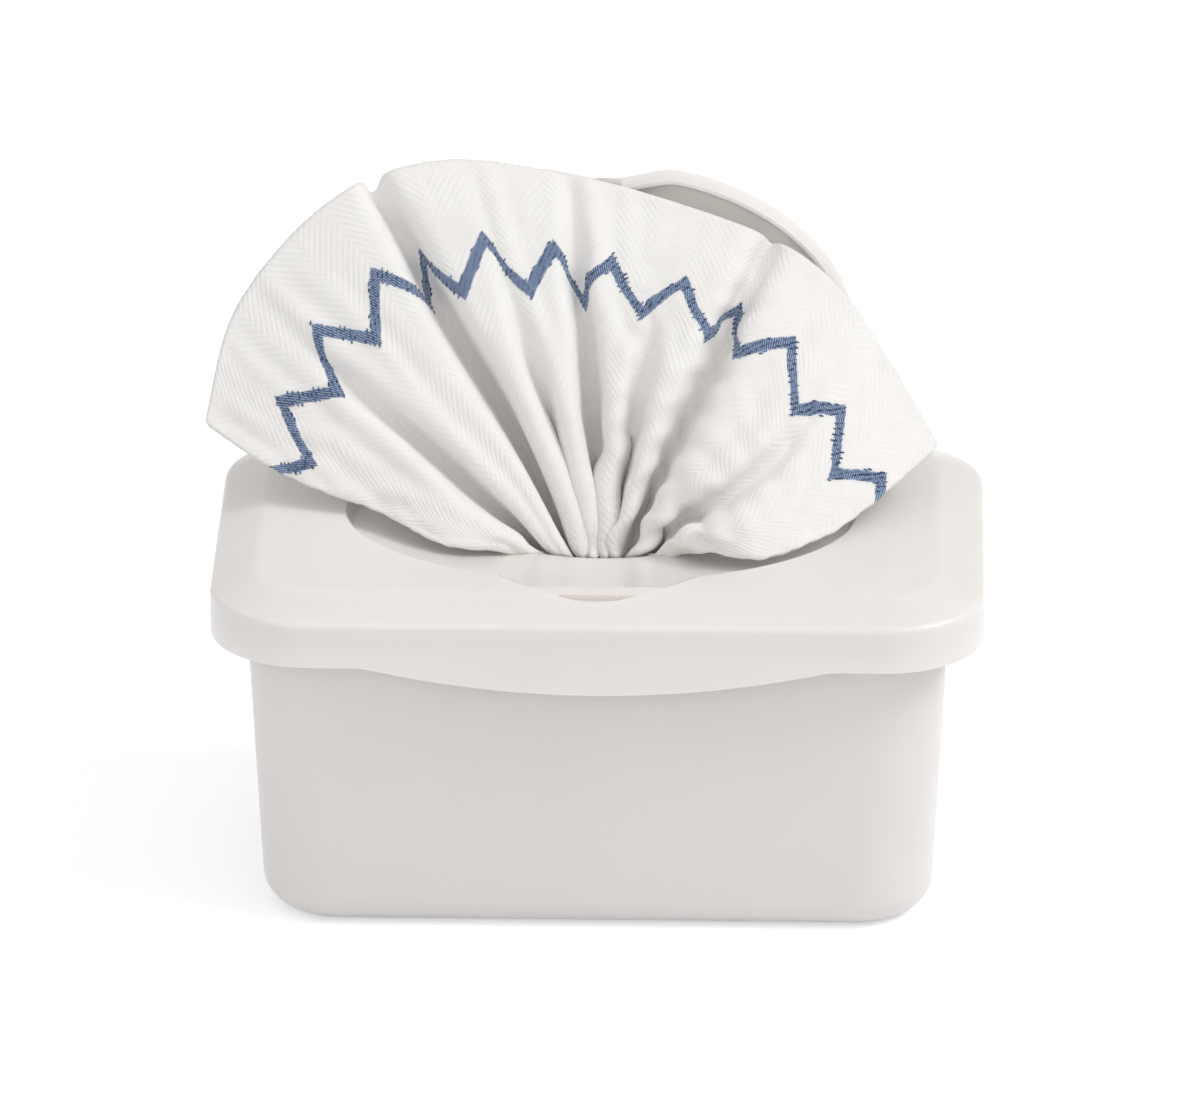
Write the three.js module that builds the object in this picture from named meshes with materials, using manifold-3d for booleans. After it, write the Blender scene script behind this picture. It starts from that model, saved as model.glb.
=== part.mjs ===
// Pop-up tub of microfiber cloths.
// Millimetres, +Z up, front towards -Y, origin on the floor under the middle of the tub.
import * as THREE from 'three';
import { mergeVertices } from 'three/addons/utils/BufferGeometryUtils.js';
import Module from 'manifold-3d';

const wasm = await Module();
wasm.setup();

// Lid, outside sizes. The overhang is how far its skirt stands out from the tub's wall.
const lidOverhang = 8.8;
const lidCornerRadius = 26;
const lidWall = 1.8;
const skirtBottomZ = 79.4;
const skirtHeight = 12;
const bevelRun = 11.9;
const bevelRise = 4.85;
const edgeRound = 0.7;
const dropTabHalfWidth = 60;
const dropTabDrop = 7;

// Oval recess in the deck, with the bowl and the dispensing slot
const recessHalfWidth = 66.3;
const recessCentreY = 3.5;
const recessFrontReach = 45.8;
const recessBackReach = 38;
const recessBackGap = 0.4;
const recessStep = 3.3;
const recessDraft = 1.6;
const bowlDepth = 4.6;
const slotHalfWidth = 23;
const slotHalfDepth = 11;
const slotCentreY = 2;

// Finger notch in front of the recess
const notchHalfWidth = 26;
const notchPastDeck = 3.3;
const notchIntoRecess = 3;
const notchCase = 1;
const notchStep = 1.5;
const notchFloorWall = 1.4;

// Tub
const tubWall = 1.4;
const tubFloor = 1.6;
const tubBaseWidth = 174;
const tubBaseDepth = 98;
const tubDraftDegrees = 2.7;
const tubCornerRadius = 20;
const tubBottomFillet = 8.5;
const rimOutset = 5.2;
const rimLipDrop = 5;

// Fits between lid and tub
const seatGap = 0.3;
const plugClearance = 0.5;
const plugDepth = 2.6;
const ribThickness = 1.2;
const seatRibInboard = 2.2;
const snapBeadGap = 0.3;
const snapBeadBelowLip = 0.6;
const snapBeadHeight = 2.6;

// Flip cap, sizes as it lies closed
const capThickness = 1.6;
const capRimDepth = 4;
const capRimThickness = 1.5;
const capDome = 1.6;
const capProud = 1.1;
const capSideClearance = 0.5;
const capBackSetback = 1.2;
const capCutHalfWidth = 20;
const capCutDepth = 4.3;
const latchTabWidth = 8.4;
const latchTabLength = 2.7;
const latchTabThickness = 1.4;
const capOpenDegrees = 104;

// Cap hinge
const hingeAxisY = 38;
const hingeAxisBelowDeck = 1.1;
const hingeBarrelRadius = 1.9;
const hingePinRadius = 1.3;
const hingeRunningClearance = 0.35;
const hingeBarrelHalfLength = 24;
const hingeEarWidth = 4.2;
const hingeEarRadius = 2.9;
const hingeSideClearance = 0.4;
const hingeStopGap = 0.3;

// Cloths
const clothWidth = 325;
const clothThickness = 1;
const pulledLength = 108;
const foldedWidth = 148;
const foldedDepth = 78;
const foldedPanel = 2.6;
const foldedGap = 0.3;
const foldedCount = 12;
const pleatCount = 5;
const gatherHalfWidth = 15;
const gatherHalfDepth = 4;
const gatherY = 5;
const edgeRuffle = 1.2;
const fanSwell = 7;
const fanLift = 4;
const flankSwell = 27;
const flankTuck = 6;
const tailPitch = 3;
const tailDrop = 16;
const tailLean = 3;
const tailSpreadLength = 42;
const stripeInset = 29;
const stripeAmplitude = 6.5;
const stripePeriod = 27;
const stripeEndMargin = 3;
const stripeWidth = 3.7;
const stripeThickness = 0.5;
const stripeGap = 0.45;

// Levels and outlines that follow from the sizes above
const creaseZ = skirtBottomZ + skirtHeight;
const deckZ = creaseZ + bevelRise;
const ledgeZ = deckZ - recessStep;
const slotEdgeZ = ledgeZ - bowlDepth;
const notchFloorZ = ledgeZ - notchStep;
const tubDraft = Math.tan(THREE.MathUtils.degToRad(tubDraftDegrees));
const rimTopZ = notchFloorZ - notchFloorWall - 2 * seatGap;
const lipBottomZ = rimTopZ - rimLipDrop;
const hingeAxisZ = deckZ - hingeAxisBelowDeck;
const lidWidth = tubBaseWidth + 2 * (rimTopZ * tubDraft + lidOverhang);
const lidDepth = tubBaseDepth + 2 * (rimTopZ * tubDraft + lidOverhang);
const rimLipInset = lidOverhang - rimOutset;
const seatRibInset = rimLipInset + seatRibInboard;
const recessFrontY = recessCentreY - recessFrontReach;
const recessBackY = hingeAxisY - recessBackGap;
const earInnerX = hingeBarrelHalfLength + hingeSideClearance;
const earOuterX = earInnerX + hingeEarWidth;
const earFootDepth = hingeBarrelRadius + hingeRunningClearance;
const capOpen = THREE.MathUtils.degToRad(capOpenDegrees);

// The stack of folded cloths, and the levels of the pop-up cloth's tail that lies on it
const stackPitch = foldedPanel + foldedGap;
const stackLayers = 2 * foldedCount;
const stackBottomZ = tubFloor + foldedGap;
const stackTopZ = stackBottomZ + stackLayers * stackPitch - foldedGap;
const longestFold = (3 * stackPitch + foldedPanel) / 2;
const tailTopZ = stackTopZ + foldedGap + clothThickness / 2 + tailPitch;

// Directions round the plan, close together at the corners
function planDirections(cornerSteps, longSteps, shortSteps) {
  const angles = [];
  const cornerX = lidWidth / 2 - lidCornerRadius;
  const cornerY = lidDepth / 2 - lidCornerRadius;
  const addCorner = (signX, signY, fromTurn) => {
    for (let i = 0; i < cornerSteps; i += 1) {
      const turn = fromTurn + (Math.PI / 2) * (i / cornerSteps);
      const x = signX * cornerX + lidCornerRadius * Math.cos(turn);
      const y = signY * cornerY + lidCornerRadius * Math.sin(turn);
      angles.push(Math.atan2(y, x));
    }
  };
  const addSide = (fromX, fromY, toX, toY, steps) => {
    for (let i = 0; i < steps; i += 1) {
      const part = i / steps;
      angles.push(Math.atan2(fromY + (toY - fromY) * part, fromX + (toX - fromX) * part));
    }
  };
  const halfX = lidWidth / 2;
  const halfY = lidDepth / 2;
  addSide(halfX, -cornerY, halfX, cornerY, shortSteps);
  addCorner(1, 1, 0);
  addSide(cornerX, halfY, -cornerX, halfY, longSteps);
  addCorner(-1, 1, Math.PI / 2);
  addSide(-halfX, cornerY, -halfX, -cornerY, shortSteps);
  addCorner(-1, -1, Math.PI);
  addSide(-cornerX, -halfY, cornerX, -halfY, longSteps);
  addCorner(1, -1, 1.5 * Math.PI);
  return angles;
}

// A rounded rectangle, as the point that lies in a given direction from its middle
function roundedOutline(halfX, halfY, radius) {
  return (angle) => {
    const c = Math.abs(Math.cos(angle));
    const s = Math.abs(Math.sin(angle));
    let reach;
    if (halfX * s <= (halfY - radius) * c) {
      reach = halfX / c;
    } else if (halfY * c <= (halfX - radius) * s) {
      reach = halfY / s;
    } else {
      const along = c * (halfX - radius) + s * (halfY - radius);
      const centreSquared = (halfX - radius) ** 2 + (halfY - radius) ** 2;
      reach = along + Math.sqrt(along * along - centreSquared + radius * radius);
    }
    return [reach * Math.cos(angle), reach * Math.sin(angle)];
  };
}

// The lid's own outline, moved inwards by a distance
function lidOutline(inset) {
  return roundedOutline(lidWidth / 2 - inset, lidDepth / 2 - inset, lidCornerRadius - inset);
}

// An oval with its own reach to the front and to the back
function ovalOutline(halfWidth, frontReach, backReach, centreY) {
  return (angle) => {
    const reachY = Math.sin(angle) < 0 ? frontReach : backReach;
    const turn = Math.atan2(Math.sin(angle) / reachY, Math.cos(angle) / halfWidth);
    return [halfWidth * Math.cos(turn), centreY + reachY * Math.sin(turn)];
  };
}

// The recess is an oval that ends in a straight line at the cap's hinge
function recessOutline(outset) {
  const oval = ovalOutline(
    recessHalfWidth + outset,
    recessFrontReach + outset,
    recessBackReach + outset,
    recessCentreY,
  );
  return (angle) => {
    const [x, y] = oval(angle);
    return [x, Math.min(y, recessBackY + outset)];
  };
}

function slotOutline(outset) {
  return ovalOutline(slotHalfWidth + outset, slotHalfDepth + outset, slotHalfDepth + outset, slotCentreY);
}

function blendOutlines(first, second, part) {
  return (angle) => {
    const [ax, ay] = first(angle);
    const [bx, by] = second(angle);
    return [ax + (bx - ax) * part, ay + (by - ay) * part];
  };
}

// A closed skin over rings of points. Without poles, the last ring joins the first.
function skin(rings, poles) {
  const count = rings[0].length;
  const positions = rings.flat(2);
  const index = [];
  const at = (ring, i) => (ring % rings.length) * count + (i % count);
  const bands = poles ? rings.length - 1 : rings.length;
  for (let ring = 0; ring < bands; ring += 1) {
    for (let i = 0; i < count; i += 1) {
      index.push(at(ring, i), at(ring, i + 1), at(ring + 1, i + 1));
      index.push(at(ring, i), at(ring + 1, i + 1), at(ring + 1, i));
    }
  }
  if (poles) {
    const first = positions.length / 3;
    positions.push(...poles[0], ...poles[1]);
    for (let i = 0; i < count; i += 1) {
      index.push(first, at(0, i + 1), at(0, i));
      index.push(first + 1, at(rings.length - 1, i), at(rings.length - 1, i + 1));
    }
  }
  const geometry = new THREE.BufferGeometry();
  geometry.setAttribute('position', new THREE.Float32BufferAttribute(positions, 3));
  geometry.setIndex(index);
  return geometry;
}

// A moulding made of stations, each an outline at a height
function moulding(directions, stations, poles) {
  const rings = stations.map(([outline, height]) => directions.map((angle) => {
    const [x, y] = outline(angle);
    return [x, y, typeof height === 'function' ? height(x, y) : height];
  }));
  return skin(rings, poles);
}

// Joins and cuts
function toSolid(geometry) {
  const bare = geometry.clone();
  bare.deleteAttribute('normal');
  bare.deleteAttribute('uv');
  const merged = mergeVertices(bare, 1e-4);
  return new wasm.Manifold(new wasm.Mesh({
    numProp: 3,
    vertProperties: new Float32Array(merged.attributes.position.array),
    triVerts: new Uint32Array(merged.index.array),
  }));
}

function toGeometry(solid) {
  const mesh = solid.getMesh();
  const geometry = new THREE.BufferGeometry();
  geometry.setAttribute('position', new THREE.Float32BufferAttribute(mesh.vertProperties, 3));
  geometry.setIndex(Array.from(mesh.triVerts));
  return geometry;
}

function block(fromX, toX, fromY, toY, fromZ, toZ) {
  const geometry = new THREE.BoxGeometry(toX - fromX, toY - fromY, toZ - fromZ);
  geometry.translate((fromX + toX) / 2, (fromY + toY) / 2, (fromZ + toZ) / 2);
  return geometry;
}

function rod(radius, fromX, toX, y, z, sides) {
  const geometry = new THREE.CylinderGeometry(radius, radius, toX - fromX, sides);
  geometry.rotateZ(Math.PI / 2);
  geometry.translate((fromX + toX) / 2, y, z);
  return geometry;
}

// A named piece with its own plain material
function finish(name, geometry, color, roughness) {
  const bare = geometry.index ? geometry : mergeVertices(geometry, 1e-4);
  bare.computeVertexNormals();
  const mesh = new THREE.Mesh(bare, new THREE.MeshStandardMaterial({ color, roughness, metalness: 0 }));
  mesh.name = name;
  return mesh;
}

const plasticWhite = 0xf0ece6;
const plasticRoughness = 0.32;
const clothWhite = 0xf1efec;
const clothRoughness = 0.95;
const stripeBlue = 0x2f5f96;

// Tub: one thin-walled moulding with drafted sides, a filleted bottom and a turned-down rim
function tubOutline(height, inset) {
  const outset = height * tubDraft - inset;
  return roundedOutline(
    tubBaseWidth / 2 + outset,
    tubBaseDepth / 2 + outset,
    tubCornerRadius - inset,
  );
}

function filletStations(radius, floorZ, inset, steps) {
  const stations = [];
  for (let i = 0; i <= steps; i += 1) {
    const turn = (Math.PI / 2) * (i / steps);
    const height = floorZ + radius * (1 - Math.cos(turn));
    stations.push([tubOutline(height, inset + radius * (1 - Math.sin(turn))), height]);
  }
  return stations;
}

function makeTub() {
  const directions = planDirections(6, 12, 4);
  const rimTop = tubOutline(rimTopZ, 0);
  const rimInside = tubOutline(rimTopZ, tubWall);
  const underRimZ = rimTopZ - tubWall;
  const outside = filletStations(tubBottomFillet, 0, 0, 5);
  const inside = filletStations(tubBottomFillet - tubWall, tubFloor, tubWall, 5).reverse();
  const stations = [
    ...outside,
    [tubOutline(lipBottomZ, 0), lipBottomZ],
    [tubOutline(underRimZ, 0), underRimZ],
    [lidOutline(rimLipInset + tubWall), underRimZ],
    [lidOutline(rimLipInset + tubWall), lipBottomZ],
    [lidOutline(rimLipInset), lipBottomZ],
    [lidOutline(rimLipInset), rimTopZ - edgeRound],
    [lidOutline(rimLipInset + edgeRound), rimTopZ],
    [blendOutlines(rimTop, rimInside, 0.5), rimTopZ],
    [rimInside, rimTopZ - edgeRound],
    ...inside,
  ];
  return moulding(directions, stations, [[0, 0, 0], [0, 0, tubFloor]]);
}

// Lid: skirt, bevel, deck, recess, bowl and slot, with ribs below for the tub's rim
function bevelUnderZ(inset) {
  return creaseZ - lidWall + (bevelRise * inset) / bevelRun;
}

function makeLid() {
  const directions = planDirections(6, 12, 4);
  const dropHeight = (x, y) => {
    const inside = y < 0 && Math.abs(x) < dropTabHalfWidth && Math.abs(y) > lidDepth / 2 - 4;
    return inside ? skirtBottomZ - dropTabDrop * (1 - (x / dropTabHalfWidth) ** 2) : skirtBottomZ;
  };
  const bowlSteps = 4;
  const bowl = [];
  const bowlUnder = [];
  const bowlRim = recessOutline(-recessDraft - edgeRound);
  for (let i = 1; i < bowlSteps; i += 1) {
    const part = i / bowlSteps;
    const fall = bowlDepth * Math.sin((part * Math.PI) / 2);
    const outline = blendOutlines(bowlRim, slotOutline(edgeRound), part);
    bowl.push([outline, ledgeZ - fall]);
    bowlUnder.unshift([outline, ledgeZ - fall - lidWall]);
  }
  const plugOutside = tubOutline(rimTopZ, tubWall + plugClearance);
  const plugInside = tubOutline(rimTopZ, tubWall + plugClearance + ribThickness);
  const plugInset = lidOverhang + tubWall + plugClearance;
  const plugBottomZ = rimTopZ - plugDepth;
  const seatZ = rimTopZ + seatGap;
  const innerInset = rimLipInset - snapBeadGap;
  const beadTopZ = lipBottomZ - snapBeadBelowLip;
  const stations = [
    [lidOutline(0), dropHeight],
    [lidOutline(0), creaseZ - edgeRound],
    [lidOutline(edgeRound / 2), creaseZ],
    [lidOutline(bevelRun - edgeRound), deckZ - edgeRound * (bevelRise / bevelRun)],
    [lidOutline(bevelRun + edgeRound), deckZ],
    [recessOutline(edgeRound), deckZ],
    [recessOutline(0), deckZ - edgeRound],
    [recessOutline(-recessDraft), ledgeZ + edgeRound],
    [bowlRim, ledgeZ],
    ...bowl,
    [slotOutline(edgeRound), slotEdgeZ],
    [slotOutline(0), slotEdgeZ - lidWall / 2],
    [slotOutline(edgeRound), slotEdgeZ - lidWall],
    ...bowlUnder,
    [recessOutline(-recessDraft), ledgeZ - lidWall],
    [recessOutline(lidWall - recessDraft + edgeRound), ledgeZ - edgeRound],
    [recessOutline(lidWall), deckZ - lidWall],
    [plugInside, deckZ - lidWall],
    [plugInside, plugBottomZ],
    [plugOutside, plugBottomZ],
    [plugOutside, bevelUnderZ(plugInset)],
    [lidOutline(seatRibInset + ribThickness), bevelUnderZ(seatRibInset + ribThickness)],
    [lidOutline(seatRibInset + ribThickness), seatZ],
    [lidOutline(seatRibInset), seatZ],
    [lidOutline(seatRibInset), bevelUnderZ(seatRibInset)],
    [lidOutline(lidWall), bevelUnderZ(lidWall)],
    [lidOutline(lidWall), beadTopZ],
    [lidOutline(innerInset), beadTopZ - snapBeadHeight / 3],
    [lidOutline(lidWall), beadTopZ - snapBeadHeight],
    [lidOutline(lidWall), dropHeight],
  ];
  let lid = toSolid(moulding(directions, stations));

  // Finger notch: a lens cut across the strip of deck in front of the recess
  const notchFrontY = -(lidDepth / 2 - bevelRun + notchPastDeck);
  const notchEndY = recessFrontY + notchIntoRecess;
  const notchLens = (outset) => {
    const shape = new THREE.Shape();
    shape.moveTo(-notchHalfWidth - outset, notchEndY);
    const controlY = 2 * (notchFrontY - outset) - notchEndY;
    shape.quadraticCurveTo(0, controlY, notchHalfWidth + outset, notchEndY);
    shape.lineTo(-notchHalfWidth - outset, notchEndY);
    return shape;
  };
  const lensPrism = (outset, fromZ, toZ) => {
    const geometry = new THREE.ExtrudeGeometry(notchLens(outset), {
      depth: toZ - fromZ,
      bevelEnabled: false,
      curveSegments: 14,
    });
    geometry.translate(0, 0, fromZ);
    return geometry;
  };
  const notchUnderZ = notchFloorZ - notchFloorWall;
  lid = lid.add(toSolid(lensPrism(notchCase, notchUnderZ, notchFloorZ + notchCase / 2)));
  lid = lid.subtract(toSolid(lensPrism(0, ledgeZ, deckZ + 1)));
  const landFrontY = recessFrontY - recessDraft;
  const deepPart = toSolid(lensPrism(0, notchFloorZ, deckZ + 1))
    .intersect(toSolid(block(-lidWidth, lidWidth, -lidDepth, landFrontY, notchFloorZ, deckZ + 1)));
  lid = lid.subtract(deepPart);

  // Hinge pocket at the back of the recess, with an ear at each end for the cap's pin
  const backShare = (hingeAxisY - capBackSetback - recessCentreY) / recessBackReach;
  const capBackHalfX = recessHalfWidth * Math.sqrt(1 - backShare * backShare);
  const pocketHalfX = Math.max(earOuterX, capBackHalfX) + hingeSideClearance;
  const pocketFrontY = hingeAxisY - hingeEarRadius - lidWall;
  const capTopAboveAxis = hingeAxisBelowDeck + capProud;
  const lean = capOpen - Math.PI / 2;
  const stopY = hingeAxisY + capTopAboveAxis / Math.cos(lean) + hingeAxisBelowDeck * Math.tan(lean);
  const pocketBackY = stopY + hingeStopGap;
  const pocketFloorZ = hingeAxisZ - earFootDepth;
  const caseBlock = (frontY, topZ) => block(
    -pocketHalfX - lidWall,
    pocketHalfX + lidWall,
    frontY,
    pocketBackY + lidWall,
    pocketFloorZ - lidWall,
    topZ,
  );
  const pocketCase = toSolid(caseBlock(pocketFrontY, ledgeZ))
    .add(toSolid(caseBlock(recessBackY, deckZ - lidWall / 2)));
  const pocket = block(-pocketHalfX, pocketHalfX, pocketFrontY - 1, pocketBackY, pocketFloorZ, deckZ + 1);
  lid = lid.add(pocketCase).subtract(toSolid(pocket));
  for (const side of [-1, 1]) {
    const fromX = Math.min(side * earInnerX, side * earOuterX);
    const toX = Math.max(side * earInnerX, side * earOuterX);
    const eye = toSolid(rod(hingeEarRadius, fromX, toX, hingeAxisY, hingeAxisZ, 20));
    const foot = toSolid(block(
      fromX,
      toX,
      hingeAxisY - hingeEarRadius,
      hingeAxisY + hingeEarRadius,
      pocketFloorZ - lidWall / 2,
      hingeAxisZ,
    ));
    const bore = toSolid(rod(
      hingePinRadius + hingeRunningClearance,
      fromX - 1,
      toX + 1,
      hingeAxisY,
      hingeAxisZ,
      16,
    ));
    lid = lid.add(eye.add(foot)).subtract(bore);
  }
  return toGeometry(lid);
}

// Flip cap: a shallow domed oval with a rim below, a latch tab and a hinge pin, drawn closed
function capEdge(outset) {
  const oval = recessOutline(-capSideClearance + outset);
  const backLimit = hingeAxisY - capBackSetback;
  return (angle) => {
    const [x, y] = oval(angle);
    let edgeY = Math.min(y, backLimit + outset);
    if (y < 0 && Math.abs(x) < capCutHalfWidth) {
      edgeY += capCutDepth * (1 - (x / capCutHalfWidth) ** 2) ** 2;
    }
    return [x, edgeY];
  };
}

function shrink(outline, part) {
  return (angle) => {
    const [x, y] = outline(angle);
    return [x * part, recessCentreY + (y - recessCentreY) * part];
  };
}

function makeCap() {
  const directions = planDirections(6, 14, 5);
  const topZ = deckZ + capProud;
  const underZ = topZ - capThickness;
  const rimBottomZ = topZ - capRimDepth;
  const rimInset = -recessDraft - edgeRound;
  const domeSteps = [0.3, 0.62, 0.86];
  const top = domeSteps.map((part) => [
    shrink(capEdge(-edgeRound), part),
    topZ + capDome * (1 - part * part),
  ]);
  const under = domeSteps.map((part) => [
    shrink(capEdge(-capRimThickness), part),
    underZ + capDome * (1 - part * part),
  ]);
  const stations = [
    ...under,
    [capEdge(-capRimThickness - edgeRound), underZ],
    [capEdge(rimInset - capRimThickness), rimBottomZ],
    [capEdge(rimInset), rimBottomZ],
    [capEdge(0), topZ - edgeRound],
    [capEdge(-edgeRound), topZ],
    ...top.reverse(),
  ];
  const poles = [[0, recessCentreY, underZ + capDome], [0, recessCentreY, topZ + capDome]];
  let cap = toSolid(moulding(directions, stations, poles));

  const cutEdgeY = recessFrontY + capSideClearance + capCutDepth - rimInset;
  cap = cap.add(toSolid(block(
    -latchTabWidth / 2,
    latchTabWidth / 2,
    cutEdgeY - latchTabLength,
    cutEdgeY + capRimThickness / 2,
    rimBottomZ,
    rimBottomZ + latchTabThickness,
  )));
  const barrel = toSolid(rod(
    hingeBarrelRadius,
    -hingeBarrelHalfLength,
    hingeBarrelHalfLength,
    hingeAxisY,
    hingeAxisZ,
    20,
  ));
  const earClearRadius = Math.hypot(hingeEarRadius, earFootDepth) + hingeRunningClearance;
  for (const side of [-1, 1]) {
    cap = cap.subtract(toSolid(rod(
      earClearRadius,
      side * (earInnerX + earOuterX) / 2 - hingeEarWidth / 2 - hingeSideClearance,
      side * (earInnerX + earOuterX) / 2 + hingeEarWidth / 2 + hingeSideClearance,
      hingeAxisY,
      hingeAxisZ,
      20,
    )));
  }
  const pinHalfLength = earOuterX;
  const pin = toSolid(rod(hingePinRadius, -pinHalfLength, pinHalfLength, hingeAxisY, hingeAxisZ, 16));
  const web = toSolid(block(
    -hingeBarrelHalfLength,
    hingeBarrelHalfLength,
    hingeAxisY - 3,
    hingeAxisY,
    hingeAxisZ - 0.5,
    topZ - edgeRound,
  ));
  return toGeometry(cap.add(barrel).add(pin).add(web));
}

// Folded cloths: each a long U that grips one panel of the cloth above and one of the cloth below
function makeFoldedCloth(topLayer, bottomLayer, bendSide) {
  const middle = ((topLayer + bottomLayer) / 2) * stackPitch;
  const outer = ((bottomLayer - topLayer) * stackPitch + foldedPanel) / 2;
  const inner = outer - foldedPanel;
  const bendCentre = foldedDepth / 2 - outer;
  const freeEnd = -(foldedDepth / 2 - longestFold - foldedGap);
  const shape = new THREE.Shape();
  shape.moveTo(freeEnd, outer);
  shape.lineTo(bendCentre, outer);
  shape.absarc(bendCentre, 0, outer, Math.PI / 2, -Math.PI / 2, true);
  shape.lineTo(freeEnd, -outer);
  shape.lineTo(freeEnd, -inner);
  shape.lineTo(bendCentre, -inner);
  shape.absarc(bendCentre, 0, inner, -Math.PI / 2, Math.PI / 2, false);
  shape.lineTo(freeEnd, inner);
  shape.lineTo(freeEnd, outer);
  const geometry = new THREE.ExtrudeGeometry(shape, {
    depth: foldedWidth,
    bevelEnabled: false,
    curveSegments: 8,
  });
  geometry.translate(0, 0, -foldedWidth / 2);
  geometry.rotateX(Math.PI / 2);
  geometry.rotateZ(bendSide > 0 ? Math.PI / 2 : -Math.PI / 2);
  return { geometry, middle };
}

// Pop-up cloth: its free edge fans out and leans on the open cap, its middle is gathered through
// the slot, and its tail lies folded on the stack. u runs across the width, v along the length.
// The free edge from the left corner to the right one, as shares of the pulled length measured
// from the slot: across, back and up
const fanEdge = new THREE.CatmullRomCurve3([
  new THREE.Vector3(-0.963, 0.11, 0.235),
  new THREE.Vector3(-0.889, 0.26, 0.48),
  new THREE.Vector3(-0.667, 0.375, 0.71),
  new THREE.Vector3(-0.403, 0.43, 0.795),
  new THREE.Vector3(-0.093, 0.425, 0.775),
  new THREE.Vector3(0.167, 0.4, 0.725),
  new THREE.Vector3(0.426, 0.335, 0.625),
  new THREE.Vector3(0.574, 0.28, 0.525),
  new THREE.Vector3(0.685, 0.205, 0.385),
  new THREE.Vector3(0.812, 0.095, 0.2),
]);
const gatherZ = slotEdgeZ + clothThickness;

function smooth(from, to, value) {
  const part = Math.min(1, Math.max(0, (value - from) / (to - from)));
  return part * part * (3 - 2 * part);
}

function pleatWave(u) {
  return Math.sin(2 * Math.PI * pleatCount * u + 0.6);
}

function fanPoint(u, v) {
  const out = 1 - v / pulledLength;
  const flank = smooth(0.78, 1, u);
  const wave = pleatWave(u);
  const ruffle = wave * (1 - flank);
  const gather = new THREE.Vector3(
    gatherHalfWidth * (2 * u - 1),
    gatherY + gatherHalfDepth * wave,
    gatherZ,
  );
  const edge = fanEdge.getPointAt(u).multiplyScalar(pulledLength);
  edge.add(new THREE.Vector3(0, gatherY + edgeRuffle * ruffle, gatherZ));
  const swell = 4 * out * (1 - out);
  const point = gather.lerp(edge, out);
  point.y -= swell * (fanSwell + flankSwell * flank - 2 * edgeRuffle * ruffle);
  point.x -= swell * flankTuck * flank;
  point.z += swell * (fanLift - fanLift * flank + edgeRuffle * ruffle);
  return point;
}

const tailTurnRadius = tailPitch / 2;
const tailTurnLength = Math.PI * tailTurnRadius;
const tailBackY = foldedDepth / 2 - longestFold;
const tailFirstRun = tailBackY - gatherY - tailLean;

function tailPoint(u, v) {
  const down = v - pulledLength;
  const spread = smooth(0, tailSpreadLength, down);
  const halfWidth = gatherHalfWidth + (foldedWidth / 2 - gatherHalfWidth) * spread;
  let y;
  let z = tailTopZ;
  const onTop = down - tailDrop;
  const past = onTop - tailFirstRun;
  if (onTop < 0) {
    y = gatherY + tailLean * (down / tailDrop) ** 2;
    z = gatherZ + (tailTopZ - gatherZ) * (down / tailDrop);
  } else if (past < 0) {
    y = gatherY + tailLean + onTop;
  } else if (past < tailTurnLength) {
    y = tailBackY + tailTurnRadius * Math.sin(past / tailTurnRadius);
    z = tailTopZ - tailTurnRadius * (1 - Math.cos(past / tailTurnRadius));
  } else {
    y = tailBackY - (past - tailTurnLength);
    z = tailTopZ - tailPitch;
  }
  y += gatherHalfDepth * pleatWave(u) * (1 - smooth(0, tailSpreadLength / 2, down));
  return new THREE.Vector3(halfWidth * (2 * u - 1), y, z);
}

// Rows of the cloth: even ones on the fan, then closer ones where the tail drops and turns
const clothColumns = 40;
const fanRows = 12;

function clothRows() {
  const rows = [];
  const addRun = (length, steps) => {
    const from = rows.length > 0 ? rows[rows.length - 1] : 0;
    for (let i = rows.length > 0 ? 1 : 0; i <= steps; i += 1) {
      rows.push(from + (length * i) / steps);
    }
  };
  addRun(pulledLength, fanRows);
  addRun(tailDrop, 4);
  addRun(tailFirstRun, 3);
  addRun(tailTurnLength, 4);
  addRun(2 * tailBackY, 3);
  return rows;
}

function clothGrid() {
  return clothRows().map((v) => {
    const row = [];
    for (let i = 0; i <= clothColumns; i += 1) {
      const u = i / clothColumns;
      row.push(v <= pulledLength ? fanPoint(u, v) : tailPoint(u, v));
    }
    return row;
  });
}

// Normals of a grid of points, from its neighbours
function gridNormals(grid) {
  const last = grid.length - 1;
  return grid.map((row, r) => row.map((_, c) => {
    const across = row[Math.min(c + 1, row.length - 1)].clone().sub(row[Math.max(c - 1, 0)]);
    const along = grid[Math.min(r + 1, last)][c].clone().sub(grid[Math.max(r - 1, 0)][c]);
    return across.cross(along).normalize();
  }));
}

const sheetPoints = clothGrid();
const sheetNormals = gridNormals(sheetPoints);

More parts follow.
